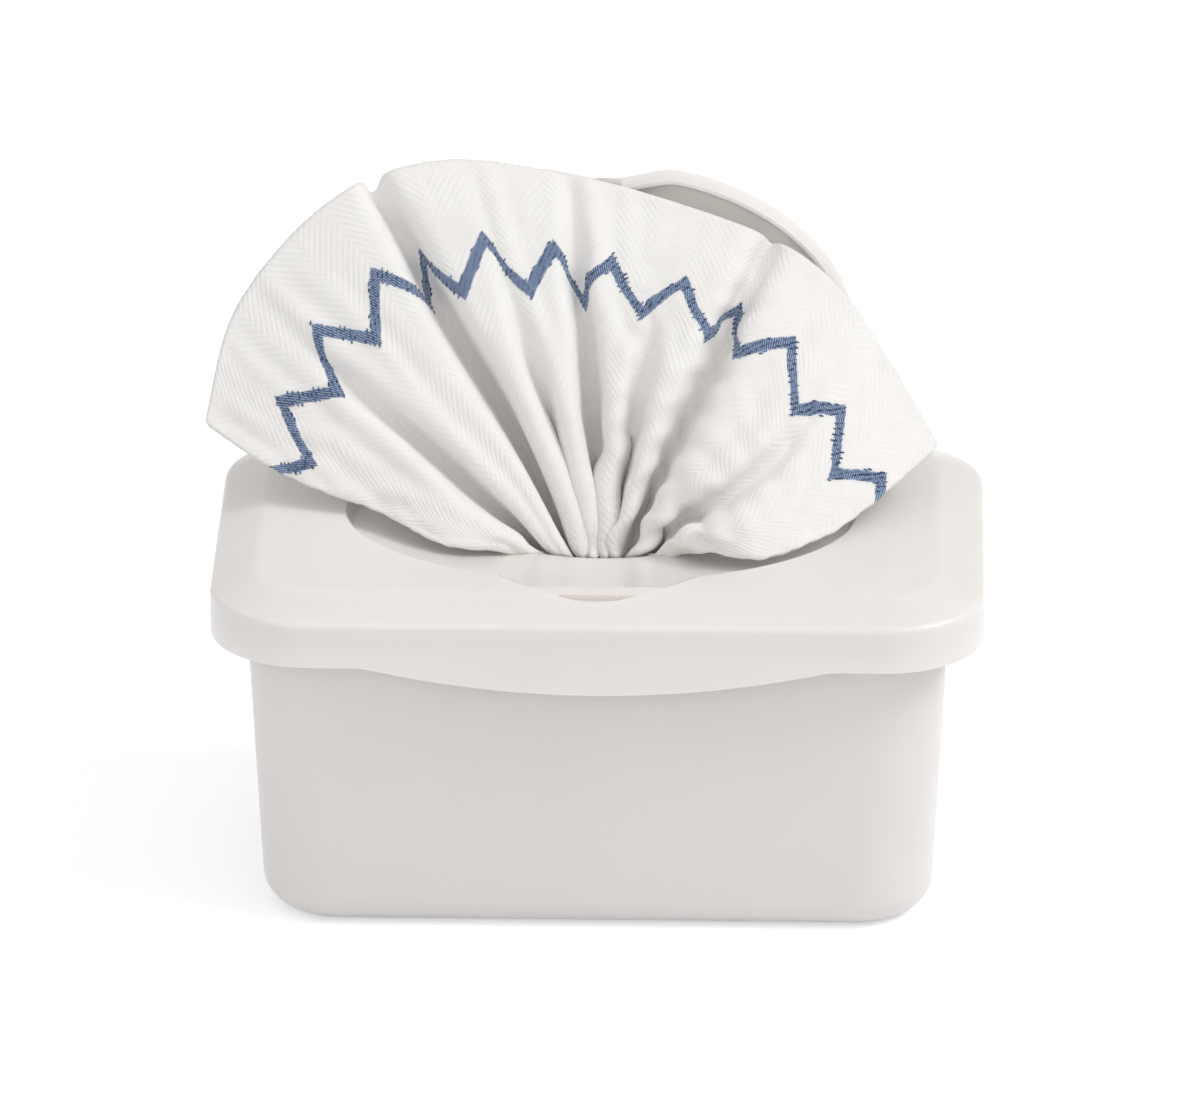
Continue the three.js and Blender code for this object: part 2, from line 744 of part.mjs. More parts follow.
function makePopupCloth() {
  const rings = sheetPoints.map((row, r) => {
    const front = row.map((point, c) => point.clone().addScaledVector(sheetNormals[r][c], clothThickness / 2));
    const back = row.map((point, c) => point.clone().addScaledVector(sheetNormals[r][c], -clothThickness / 2));
    return [...front, ...back.reverse()];
  });
  const count = rings[0].length;
  const positions = rings.flat().flatMap((point) => [point.x, point.y, point.z]);
  const index = [];
  for (let ring = 0; ring < rings.length - 1; ring += 1) {
    for (let i = 0; i < count; i += 1) {
      const a = ring * count + i;
      const b = ring * count + ((i + 1) % count);
      index.push(a, b, b + count, a, b + count, a + count);
    }
  }
  const half = count / 2;
  const lastRing = (rings.length - 1) * count;
  for (let i = 0; i < half - 1; i += 1) {
    const a = i;
    const b = i + 1;
    const c = count - 2 - i;
    const d = count - 1 - i;
    index.push(a, c, b, a, d, c);
    index.push(lastRing + a, lastRing + b, lastRing + c, lastRing + a, lastRing + c, lastRing + d);
  }
  const geometry = new THREE.BufferGeometry();
  geometry.setAttribute('position', new THREE.Float32BufferAttribute(positions, 3));
  geometry.setIndex(index);
  return geometry;
}

// A point of the faceted cloth and its normal, for what lies on it
function onSheet(u, v) {
  const column = Math.min(clothColumns - 1, Math.max(0, Math.floor(u * clothColumns)));
  const row = Math.min(fanRows - 1, Math.max(0, Math.floor((v / pulledLength) * fanRows)));
  const a = u * clothColumns - column;
  const b = (v / pulledLength) * fanRows - row;
  const mix = (grid) => {
    const near = grid[row][column].clone().lerp(grid[row][column + 1], a);
    const far = grid[row + 1][column].clone().lerp(grid[row + 1][column + 1], a);
    return near.lerp(far, b);
  };
  return { point: mix(sheetPoints), normal: mix(sheetNormals).normalize() };
}

// Zigzag stripe: runs across the cloth from side to side, beside its free edge
function stripeFlatPath() {
  const path = [];
  const length = clothWidth - 2 * stripeEndMargin;
  const stepsPerLeg = 3;
  const legs = Math.round(length / (stripePeriod / 2));
  for (let i = 0; i <= legs * stepsPerLeg; i += 1) {
    const phase = i / stepsPerLeg;
    const rise = phase - Math.floor(phase);
    const up = Math.floor(phase) % 2 === 0 ? rise : 1 - rise;
    path.push([
      stripeEndMargin + (length * phase) / legs,
      stripeInset + stripeAmplitude * (2 * up - 1),
    ]);
  }
  return path;
}

function makeStripe() {
  const path = stripeFlatPath();
  const sections = path.map(([x, y], i) => {
    const before = path[Math.max(0, i - 1)];
    const after = path[Math.min(path.length - 1, i + 1)];
    const runX = after[0] - before[0];
    const runY = after[1] - before[1];
    const run = Math.hypot(runX, runY) || 1;
    const sideX = (-runY / run) * (stripeWidth / 2);
    const sideY = (runX / run) * (stripeWidth / 2);
    const corners = [];
    for (const side of [1, -1]) {
      const { point, normal } = onSheet((x + side * sideX) / clothWidth, y + side * sideY);
      const low = clothThickness / 2 + stripeGap;
      corners.push({ point, normal, low });
    }
    const lift = (corner, height) => corner.point.clone().addScaledVector(corner.normal, -height);
    return [
      lift(corners[0], corners[0].low),
      lift(corners[0], corners[0].low + stripeThickness),
      lift(corners[1], corners[1].low + stripeThickness),
      lift(corners[1], corners[1].low),
    ];
  });
  const positions = sections.flat().flatMap((point) => [point.x, point.y, point.z]);
  const index = [];
  for (let i = 0; i < sections.length - 1; i += 1) {
    for (let side = 0; side < 4; side += 1) {
      const a = i * 4 + side;
      const b = i * 4 + ((side + 1) % 4);
      index.push(a, b + 4, b, a, a + 4, b + 4);
    }
  }
  const end = (sections.length - 1) * 4;
  index.push(0, 1, 2, 0, 2, 3, end, end + 2, end + 1, end, end + 3, end + 2);
  const geometry = new THREE.BufferGeometry();
  geometry.setAttribute('position', new THREE.Float32BufferAttribute(positions, 3));
  geometry.setIndex(index);
  return geometry;
}

const tubOfCloths = new THREE.Group();
tubOfCloths.name = 'tub_of_cloths';
tubOfCloths.add(finish('tub_body', makeTub(), plasticWhite, plasticRoughness));
tubOfCloths.add(finish('lid', makeLid(), plasticWhite, plasticRoughness));

const capPivot = new THREE.Group();
capPivot.position.set(0, hingeAxisY, hingeAxisZ);
capPivot.rotation.x = -capOpen;
const cap = finish('flip_cap', makeCap(), plasticWhite, plasticRoughness);
cap.position.set(0, -hingeAxisY, -hingeAxisZ);
capPivot.add(cap);
tubOfCloths.add(capPivot);

for (let i = 0; i < foldedCount; i += 1) {
  const topLayer = i === 0 ? 0 : 2 * i - 1;
  const bottomLayer = i === foldedCount - 1 ? 2 * i + 1 : 2 * i + 2;
  const { geometry, middle } = makeFoldedCloth(topLayer, bottomLayer, i % 2 === 0 ? 1 : -1);
  const name = `folded_cloth_${String(i + 1).padStart(2, '0')}`;
  const cloth = finish(name, geometry, clothWhite, clothRoughness);
  cloth.position.set(0, 0, stackTopZ - foldedPanel / 2 - middle);
  tubOfCloths.add(cloth);
}

tubOfCloths.add(finish('popup_cloth', makePopupCloth(), clothWhite, clothRoughness));
tubOfCloths.add(finish('cloth_stripe', makeStripe(), stripeBlue, clothRoughness));

export default tubOfCloths;
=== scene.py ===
import math

import bmesh
import bpy
import numpy as np
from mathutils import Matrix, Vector


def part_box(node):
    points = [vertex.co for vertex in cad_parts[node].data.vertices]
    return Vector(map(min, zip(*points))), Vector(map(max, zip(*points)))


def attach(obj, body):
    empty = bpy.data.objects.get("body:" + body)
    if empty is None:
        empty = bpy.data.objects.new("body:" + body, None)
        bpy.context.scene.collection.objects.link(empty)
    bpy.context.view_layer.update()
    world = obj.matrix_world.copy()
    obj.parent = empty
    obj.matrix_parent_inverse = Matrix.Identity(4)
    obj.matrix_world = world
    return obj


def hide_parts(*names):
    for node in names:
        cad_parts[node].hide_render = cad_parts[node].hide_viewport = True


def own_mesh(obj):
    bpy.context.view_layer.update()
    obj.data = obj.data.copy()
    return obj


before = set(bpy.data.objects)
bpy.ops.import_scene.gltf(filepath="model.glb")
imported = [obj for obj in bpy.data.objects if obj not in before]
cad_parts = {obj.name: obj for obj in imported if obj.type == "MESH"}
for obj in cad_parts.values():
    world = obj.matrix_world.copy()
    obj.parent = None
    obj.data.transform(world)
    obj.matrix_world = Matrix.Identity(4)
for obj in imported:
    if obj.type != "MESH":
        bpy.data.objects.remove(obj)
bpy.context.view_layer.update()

# Camera
# A long lens about three metres in front of the tub and a little above it, as in the photograph.
camera_elevation = math.radians(23.28)
camera_turn = math.radians(-1.42)
camera_distance = 3.044
camera_target = Vector((-0.0002, 0.0, 0.0855))
photo_width = 1200
focal_pixels = 11664
sensor_width = 36.0

camera_data = bpy.data.cameras.new("camera")
camera_data.sensor_width = sensor_width
camera_data.lens = focal_pixels / photo_width * sensor_width
camera_data.clip_end = 20
camera = bpy.data.objects.new("camera", camera_data)
bpy.context.scene.collection.objects.link(camera)
view_direction = Vector((
    math.sin(camera_turn) * math.cos(camera_elevation),
    math.cos(camera_turn) * math.cos(camera_elevation),
    -math.sin(camera_elevation),
))
camera.location = camera_target - camera_distance * view_direction
camera.rotation_euler = view_direction.to_track_quat("-Z", "Y").to_euler()
bpy.context.scene.camera = camera
bpy.context.scene.view_settings.view_transform = "Standard"

# Floor and light
# A plain white tabletop under a large soft lamp from the right, with even light all round.
floor_size = 12.0
floor_color = (0.78, 0.80, 0.83, 1)
floor_glow = 0.42
sky_strength = 0.69


def new_material(name):
    material = bpy.data.materials.new(name)
    material.use_nodes = True
    material.node_tree.nodes.clear()
    return material, material.node_tree.nodes, material.node_tree.links


def new_node(nodes, kind, values=None):
    """A shader node of a kind, with constants set on its sockets."""
    node = nodes.new("ShaderNode" + kind)
    for socket, value in (values or {}).items():
        node.inputs[socket].default_value = value
    return node


def new_object(name, data):
    piece = bpy.data.objects.new(name, data)
    bpy.context.scene.collection.objects.link(piece)
    return piece


floor_material, nodes, links = new_material("tabletop_white")
floor_output = new_node(nodes, "OutputMaterial")
floor_sum = new_node(nodes, "AddShader")
floor_paint = new_node(nodes, "BsdfDiffuse", {"Color": floor_color})
floor_light = new_node(nodes, "Emission")
floor_rays = new_node(nodes, "LightPath")
ray_sum = new_node(nodes, "Math")
ray_sum.operation = "MAXIMUM"
glow = new_node(nodes, "Math", {1: floor_glow})
glow.operation = "MULTIPLY"
links.new(floor_rays.outputs["Is Camera Ray"], ray_sum.inputs[0])
links.new(floor_rays.outputs["Is Glossy Ray"], ray_sum.inputs[1])
links.new(ray_sum.outputs[0], glow.inputs[0])
links.new(glow.outputs[0], floor_light.inputs["Strength"])
links.new(floor_paint.outputs[0], floor_sum.inputs[0])
links.new(floor_light.outputs[0], floor_sum.inputs[1])
links.new(floor_sum.outputs[0], floor_output.inputs["Surface"])

floor_mesh = bpy.data.meshes.new("tabletop")
half = floor_size / 2
floor_corners = [(-half, -half, 0), (half, -half, 0), (half, half, 0), (-half, half, 0)]
floor_mesh.from_pydata(floor_corners, [], [(0, 1, 2, 3)])
floor_mesh.materials.append(floor_material)
tabletop = new_object("tabletop", floor_mesh)

world = bpy.data.worlds.new("studio")
bpy.context.scene.world = world
world.use_nodes = True
nodes = world.node_tree.nodes
links = world.node_tree.links
nodes.clear()
sky_output = new_node(nodes, "OutputWorld")
sky_mix = new_node(nodes, "MixShader")
sky_rays = new_node(nodes, "LightPath")
sky_light = new_node(nodes, "Background", {"Color": (1.0, 0.995, 0.99, 1), "Strength": sky_strength})
sky_white = new_node(nodes, "Background", {"Color": (1, 1, 1, 1), "Strength": 1.0})
links.new(sky_rays.outputs["Is Camera Ray"], sky_mix.inputs[0])
links.new(sky_light.outputs[0], sky_mix.inputs[1])
links.new(sky_white.outputs[0], sky_mix.inputs[2])
links.new(sky_mix.outputs[0], sky_output.inputs["Surface"])


def soft_lamp(name, place, aim, size, power, color):
    lamp_data = bpy.data.lights.new(name, "AREA")
    lamp_data.shape = "DISK"
    lamp_data.size = size
    lamp_data.energy = power
    lamp_data.color = color
    lamp = new_object(name, lamp_data)
    lamp.location = place
    lamp.rotation_euler = (Vector(aim) - Vector(place)).to_track_quat("-Z", "Y").to_euler()


soft_lamp("lamp_right", (2.6, -0.6, 3.0), aim=(0, 0, 0.09), size=1.8, power=64, color=(1.0, 0.99, 0.97))
soft_lamp("lamp_top", (0.1, -0.75, 1.8), aim=(0, 0, 0.09), size=1.2, power=1.2, color=(1.0, 0.99, 0.98))
soft_lamp("lamp_front", (-0.6, -2.0, 1.0), aim=(0, 0, 0.08), size=1.6, power=5.6, color=(1.0, 0.975, 0.955))

# Tub body
# A thin-walled tub moulded in white polypropylene, with drafted sides, a rounded bottom and a
# turned-down rim at the top. It is one piece, drawn off a polished core.
mm = 0.001
tub_base_width = 174 * mm
tub_base_depth = 98 * mm
tub_draft = math.tan(math.radians(2.7))
tub_corner_radius = 20 * mm
tub_fillet = 8.5 * mm
tub_wall = 1.4 * mm
tub_floor = 1.6 * mm
rim_outset = 5.2 * mm
rim_lip_drop = 5 * mm
rim_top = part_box("tub_body")[1][2]
lid_high = Vector(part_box("lid")[1])
lid_half_width = lid_high.x
lid_half_depth = lid_high.y
lid_corner_radius = 26 * mm
lid_overhang = lid_half_width - tub_base_width / 2 - rim_top * tub_draft


def plan_directions(corner_steps, long_steps, short_steps):
    """Angles round the plan, close together at the lid's corners."""
    corner_x = lid_half_width - lid_corner_radius
    corner_y = lid_half_depth - lid_corner_radius
    quarter = []
    for step in range(short_steps):
        quarter.append((lid_half_width, corner_y * step / short_steps))
    for step in range(corner_steps):
        turn = math.pi / 2 * step / corner_steps
        quarter.append((corner_x + lid_corner_radius * math.cos(turn),
                        corner_y + lid_corner_radius * math.sin(turn)))
    for step in range(long_steps):
        quarter.append((corner_x * (1 - step / long_steps), lid_half_depth))
    right = [math.atan2(y, x) for x, y in quarter] + [math.pi / 2]
    left = [math.pi - angle for angle in reversed(right[:-1])]
    back = right + left
    front = [angle + math.pi for angle in back[1:-1]]
    return np.array(back + front)


def rounded_outline(half_x, half_y, radius):
    """A rounded rectangle, as the point that lies in a given direction from its middle."""
    def outline(angles):
        c = np.abs(np.cos(angles))
        s = np.abs(np.sin(angles))
        along = c * (half_x - radius) + s * (half_y - radius)
        inner = (half_x - radius) ** 2 + (half_y - radius) ** 2 - radius ** 2
        reach = along + np.sqrt(np.maximum(along ** 2 - inner, 0))
        reach = np.where(half_x * s <= (half_y - radius) * c, half_x / np.maximum(c, 1e-9), reach)
        reach = np.where(half_y * c <= (half_x - radius) * s, half_y / np.maximum(s, 1e-9), reach)
        return np.stack([reach * np.cos(angles), reach * np.sin(angles)], axis=1)
    return outline


def moulding(name, directions, stations, poles=None):
    """A closed moulding through stations, each an outline at a height."""
    rings = []
    for outline, height in stations:
        plan = outline(directions)
        level = height(plan) if callable(height) else np.full(len(plan), height)
        rings.append(np.column_stack([plan, level]))
    count = len(directions)
    points = np.concatenate(rings)
    faces = []
    bands = len(rings) - 1 if poles else len(rings)
    for band in range(bands):
        low = band * count
        high = ((band + 1) % len(rings)) * count
        for step in range(count):
            after = (step + 1) % count
            faces.append((low + step, low + after, high + after, high + step))
    if poles:
        first = len(points)
        points = np.concatenate([points, np.array(poles)])
        last_ring = (len(rings) - 1) * count
        for step in range(count):
            after = (step + 1) % count
            faces.append((first, after, step))
            faces.append((first + 1, last_ring + step, last_ring + after))
    mesh = bpy.data.meshes.new(name)
    mesh.from_pydata(points.tolist(), [], faces)
    return mesh


def place_piece(name, mesh, material):
    """A finished piece at the origin, with outward faces and smooth shading."""
    work = bmesh.new()
    work.from_mesh(mesh)
    bmesh.ops.recalc_face_normals(work, faces=work.faces)
    work.to_mesh(mesh)
    work.free()
    mesh.materials.clear()
    mesh.materials.append(material)
    mesh.polygons.foreach_set("use_smooth", [True] * len(mesh.polygons))
    mesh.set_sharp_from_angle(angle=math.radians(50))
    return new_object(name, mesh)


def two_tones(nodes, dark_at, dark, light_at, light):
    """A ramp from a dark tone to a light one."""
    ramp = new_node(nodes, "ValToRGB")
    dark_end, light_end = ramp.color_ramp.elements
    dark_end.position = dark_at
    dark_end.color = (*dark, 1)
    light_end.position = light_at
    light_end.color = (*light, 1)
    return ramp


def moulded_plastic(name, color, roughness, ripple_scale):
    """White polypropylene: a satin skin with faint flow ripples and a soft inner glow."""
    material, nodes, links = new_material(name)
    output = new_node(nodes, "OutputMaterial")
    skin = new_node(nodes, "BsdfPrincipled", {
        "Roughness": roughness,
        "IOR": 1.49,
        "Subsurface Weight": 0.4,
        "Subsurface Radius": (1.0, 0.9, 0.8),
        "Subsurface Scale": 0.006,
        "Coat Weight": 0.15,
        "Coat Roughness": 0.18,
    })
    place = new_node(nodes, "TexCoord")
    mottle = new_node(nodes, "TexNoise", {"Scale": 14, "Detail": 3})
    duller = (color[0] * 0.975, color[1] * 0.97, color[2] * 0.965)
    tint = two_tones(nodes, 0.35, duller, 0.65, color)
    ripple = new_node(nodes, "TexNoise", {"Scale": ripple_scale, "Detail": 2})
    grain = new_node(nodes, "TexNoise", {"Scale": 2600, "Detail": 1})
    ripple_bump = new_node(nodes, "Bump", {"Strength": 0.25, "Distance": 0.0004})
    grain_bump = new_node(nodes, "Bump", {"Strength": 0.12, "Distance": 0.00005})
    for texture in (mottle, ripple, grain):
        links.new(place.outputs["Object"], texture.inputs["Vector"])
    links.new(mottle.outputs[0], tint.inputs[0])
    links.new(tint.outputs[0], skin.inputs["Base Color"])
    links.new(ripple.outputs[0], ripple_bump.inputs["Height"])
    links.new(grain.outputs[0], grain_bump.inputs["Height"])
    links.new(ripple_bump.outputs[0], grain_bump.inputs["Normal"])
    links.new(grain_bump.outputs[0], skin.inputs["Normal"])
    links.new(skin.outputs[0], output.inputs["Surface"])
    return material


tub_plastic = moulded_plastic("tub_plastic", (0.875, 0.818, 0.782), 0.34, 22)


def tub_outline(height, inset):
    outset = height * tub_draft - inset
    half_x = tub_base_width / 2 + outset
    half_y = tub_base_depth / 2 + outset
    return rounded_outline(half_x, half_y, tub_corner_radius - inset)


def lid_outline(inset):
    return rounded_outline(lid_half_width - inset, lid_half_depth - inset, lid_corner_radius - inset)


def between(first, second, share):
    return lambda angles: first(angles) * (1 - share) + second(angles) * share


def fillet_stations(radius, floor, inset, steps):
    stations = []
    for step in range(steps + 1):
        turn = math.pi / 2 * step / steps
        height = floor + radius * (1 - math.cos(turn))
        stations.append((tub_outline(height, inset + radius * (1 - math.sin(turn))), height))
    return stations


rim_inset = lid_overhang - rim_outset
under_rim = rim_top - tub_wall
lip_bottom = rim_top - rim_lip_drop
soft_edge = 0.5 * mm
fine_directions = plan_directions(18, 24, 12)
tub_stations = fillet_stations(tub_fillet, 0, 0, 14)
for share in (0.25, 0.5, 0.75, 1):
    height = tub_fillet + (lip_bottom - tub_fillet) * share
    tub_stations.append((tub_outline(height, 0), height))
tub_stations += [
    (tub_outline(under_rim, 0), under_rim - soft_edge),
    (tub_outline(under_rim, -soft_edge), under_rim),
    (lid_outline(rim_inset + tub_wall), under_rim),
    (lid_outline(rim_inset + tub_wall), lip_bottom),
    (lid_outline(rim_inset), lip_bottom),
    (lid_outline(rim_inset), rim_top - soft_edge),
    (lid_outline(rim_inset + soft_edge), rim_top),
    (tub_outline(rim_top, tub_wall - soft_edge), rim_top),
    (tub_outline(rim_top, tub_wall), rim_top - soft_edge),
]
tub_stations += fillet_stations(tub_fillet - tub_wall, tub_floor, tub_wall, 10)[::-1]
tub_mesh = moulding("tub_shell", fine_directions, tub_stations, [(0, 0, 0), (0, 0, tub_floor)])
tub_shell = place_piece("tub_shell", tub_mesh, tub_plastic)
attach(tub_shell, "tub")
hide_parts("tub_body")

# Lid
# A white polypropylene moulding pushed over the tub's rim: skirt, bevel, flat deck, an oval recess
# with a bowl down to the slot, and a finger notch at the front. Ribs below grip and seal the rim.
lid_wall = 1.8 * mm
deck_z = 96.25 * mm
bevel_run = 11.9 * mm
bevel_rise = 4.85 * mm
crease_z = deck_z - bevel_rise
skirt_bottom = 79.4 * mm
drop_half_width = 60 * mm
drop_depth = 7 * mm
recess_half_width = 66.3 * mm
recess_centre = 3.5 * mm
recess_front_reach = 45.8 * mm
recess_back_reach = 38 * mm
recess_step = 3.3 * mm
recess_draft = 1.6 * mm
bowl_depth = 4.6 * mm
slot_half_width = 23 * mm
slot_half_depth = 11 * mm
slot_centre = 2 * mm
hinge_drop = 1.1 * mm
hinge_y = 38 * mm
hinge_z = deck_z - hinge_drop
recess_back = hinge_y - 0.4 * mm
ledge_z = deck_z - recess_step
slot_edge_z = ledge_z - bowl_depth


def oval_outline(half_width, front_reach, back_reach, centre):
    def outline(angles):
        reach = np.where(np.sin(angles) < 0, front_reach, back_reach)
        turn = np.arctan2(np.sin(angles) / reach, np.cos(angles) / half_width)
        return np.stack([half_width * np.cos(turn), centre + reach * np.sin(turn)], axis=1)
    return outline


def recess_outline(outset):
    oval = oval_outline(recess_half_width + outset, recess_front_reach + outset,
                        recess_back_reach + outset, recess_centre)

    def outline(angles):
        plan = oval(angles)
        plan[:, 1] = np.minimum(plan[:, 1], recess_back + outset)
        return plan
    return outline


def slot_outline(outset):
    reach = slot_half_depth + outset
    return oval_outline(slot_half_width + outset, reach, reach, slot_centre)


def skirt_drop(plan):
    share = 1 - (plan[:, 0] / drop_half_width) ** 2
    at_front = plan[:, 1] < -(lid_half_depth - 4 * mm)
    return skirt_bottom - np.where(at_front, drop_depth * np.maximum(share, 0), 0)


def bevel_under(inset):
    return crease_z - lid_wall + bevel_rise * inset / bevel_run


def rounded_corner(first, corner, last, steps):
    """Stations on a smooth bend from one (inset, height) to another, round a corner."""
    stations = []
    for step in range(steps + 1):
        t = step / steps
        inset = first[0] * (1 - t) ** 2 + 2 * corner[0] * t * (1 - t) + last[0] * t ** 2
        height = first[1] * (1 - t) ** 2 + 2 * corner[1] * t * (1 - t) + last[1] * t ** 2
        stations.append((lid_outline(inset), height))
    return stations


edge = 1.3 * mm
plug_gap = 0.5 * mm
plug_wall = 1.2 * mm
seat_wall = 1.2 * mm
slope = bevel_rise / bevel_run
bowl = []
bowl_under = []
bowl_rim = recess_outline(-recess_draft - 0.9 * mm)
for step in range(1, 12):
    share = step / 12
    fall = bowl_depth * math.sin(share * math.pi / 2)
    outline = between(bowl_rim, slot_outline(0.7 * mm), share)
    bowl.append((outline, ledge_z - fall))
    bowl_under.insert(0, (outline, ledge_z - fall - lid_wall))
plug_inset = lid_overhang + tub_wall + plug_gap
plug_bottom = rim_top - 2.6 * mm
plug_outside = tub_outline(rim_top, tub_wall + plug_gap)
plug_inside = tub_outline(rim_top, tub_wall + plug_gap + plug_wall)
seat_inset = rim_inset + 2.2 * mm
seat_z = rim_top + 0.3 * mm
lid_stations = [(lid_outline(0), skirt_drop), (lid_outline(0), skirt_bottom + 1 * mm)]
lid_stations += rounded_corner((0, crease_z - edge), (0, crease_z), (edge, crease_z + edge * slope), 5)
lid_stations += rounded_corner((bevel_run - edge, deck_z - edge * slope), (bevel_run, deck_z),
                               (bevel_run + edge, deck_z), 4)
lid_stations += [
    (recess_outline(0.9 * mm), deck_z),
    (recess_outline(0.3 * mm), deck_z - 0.15 * mm),
    (recess_outline(0), deck_z - 0.7 * mm),
    (recess_outline(-recess_draft + 0.3 * mm), ledge_z + 0.9 * mm),
    (recess_outline(-recess_draft), ledge_z + 0.35 * mm),
    (bowl_rim, ledge_z),
    *bowl,
    (slot_outline(0.7 * mm), slot_edge_z),
    (slot_outline(0.2 * mm), slot_edge_z - 0.25 * mm),
    (slot_outline(0), slot_edge_z - lid_wall / 2),
    (slot_outline(0.7 * mm), slot_edge_z - lid_wall),
    *bowl_under,
    (recess_outline(-recess_draft), ledge_z - lid_wall),
    (recess_outline(lid_wall - recess_draft + 0.7 * mm), ledge_z - 0.7 * mm),
    (recess_outline(lid_wall), deck_z - lid_wall),
    (plug_inside, deck_z - lid_wall),
    (plug_inside, plug_bottom),
    (plug_outside, plug_bottom),
    (plug_outside, bevel_under(plug_inset)),
    (lid_outline(seat_inset + seat_wall), bevel_under(seat_inset + seat_wall)),
    (lid_outline(seat_inset + seat_wall), seat_z),
    (lid_outline(seat_inset), seat_z),
    (lid_outline(seat_inset), bevel_under(seat_inset)),
    (lid_outline(lid_wall), bevel_under(lid_wall)),
    (lid_outline(lid_wall), lip_bottom - 0.6 * mm),
    (lid_outline(rim_inset - 0.3 * mm), lip_bottom - 1.5 * mm),
    (lid_outline(lid_wall), lip_bottom - 3.2 * mm),
    (lid_outline(lid_wall), skirt_drop),
]
lid_plastic = moulded_plastic("lid_plastic", (0.85, 0.807, 0.778), 0.30, 26)
lid_mesh = moulding("lid_shell", fine_directions, lid_stations)
lid_shell = place_piece("lid_shell", lid_mesh, lid_plastic)


def prism(name, outline, bottom, top):
    """A closed upright prism over a plan outline."""
    work = bmesh.new()
    base = [work.verts.new((x, y, bottom)) for x, y in outline]
    bottom_face = work.faces.new(base)
    raised = bmesh.ops.extrude_face_region(work, geom=[bottom_face])
    lifted = [item for item in raised["geom"] if isinstance(item, bmesh.types.BMVert)]
    bmesh.ops.translate(work, vec=(0, 0, top - bottom), verts=lifted)
    bmesh.ops.recalc_face_normals(work, faces=work.faces)
    mesh = bpy.data.meshes.new(name)
    work.to_mesh(mesh)
    work.free()
    return bpy.data.objects.new(name, mesh)


def cross_rod(name, radius, from_x, to_x, sides):
    """A rod along X on the cap's hinge axis."""
    outline = [(radius * math.cos(2 * math.pi * i / sides), radius * math.sin(2 * math.pi * i / sides))
               for i in range(sides)]
    rod = prism(name, outline, from_x, to_x)
    for vertex in rod.data.vertices:
        x, y, z = vertex.co
        vertex.co = (z, hinge_y + x, hinge_z + y)
    return rod


def join_or_cut(piece, tool, operation):
    """Joins a tool to a piece, or cuts it away, and leaves a plain mesh."""
    bpy.context.scene.collection.objects.link(tool)
    change = piece.modifiers.new("change", "BOOLEAN")
    change.object = tool
    change.operation = operation
    change.solver = "EXACT"
    depsgraph = bpy.context.evaluated_depsgraph_get()
    result = bpy.data.meshes.new_from_object(piece.evaluated_get(depsgraph))
    piece.modifiers.remove(change)
    piece.data = result
    bpy.data.objects.remove(tool)


def rectangle(from_x, to_x, from_y, to_y):
    return [(from_x, from_y), (to_x, from_y), (to_x, to_y), (from_x, to_y)]


notch_half_width = 26 * mm
notch_wall = 1 * mm
above_deck = deck_z + 1 * mm
recess_front = recess_centre - recess_front_reach
notch_front = -(lid_half_depth - bevel_run + 3.3 * mm)
notch_end = recess_front + 3 * mm
notch_floor = ledge_z - 1.5 * mm


def notch_lens(outset, front_limit=-1):
    outline = []
    for step in range(41):
        t = step / 40
        x = (notch_half_width + outset) * (2 * t - 1)
        y = notch_end + 4 * t * (1 - t) * (notch_front - outset - notch_end)
        outline.append((x, max(y, front_limit)))
    return outline


# The notch's wall rises from its floor to the underside of the deck, and lower under the bevel
deck_front = -(lid_half_depth - bevel_run)
for lens, wall_top in ((notch_lens(notch_wall), notch_floor + 1.6 * mm),
                       (notch_lens(notch_wall, deck_front), deck_z - lid_wall / 2)):
    join_or_cut(lid_shell, prism("notch_case", lens, notch_floor - 1.4 * mm, wall_top), "UNION")
join_or_cut(lid_shell, prism("notch_top", notch_lens(0), ledge_z, above_deck), "DIFFERENCE")
notch_land = recess_front - recess_draft
deep_lens = [point for point in notch_lens(0) if point[1] < notch_land]
join_or_cut(lid_shell, prism("notch_deep", deep_lens, notch_floor, above_deck), "DIFFERENCE")

# Hinge pocket and ears
# A pocket at the back of the recess, with an ear at either end that holds the cap's pin. Both are
# moulded in the lid, so they are joined to it here, and the pin's eyes are bored through the ears.
barrel_half_length = 24 * mm
ear_inner = barrel_half_length + 0.4 * mm
ear_outer = ear_inner + 4.2 * mm
ear_radius = 2.9 * mm
ear_foot = 2.25 * mm
pin_radius = 1.3 * mm
eye_radius = 1.65 * mm
cap_proud = 1.1 * mm
cap_open = math.radians(104)
lean = cap_open - math.pi / 2
pocket_back = hinge_y + (hinge_drop + cap_proud) / math.cos(lean) + hinge_drop * math.tan(lean) + 0.3 * mm
pocket_half = 32.4 * mm
pocket_front = hinge_y - ear_radius - lid_wall
pocket_floor = hinge_z - ear_foot
oval_back = recess_centre + recess_back_reach
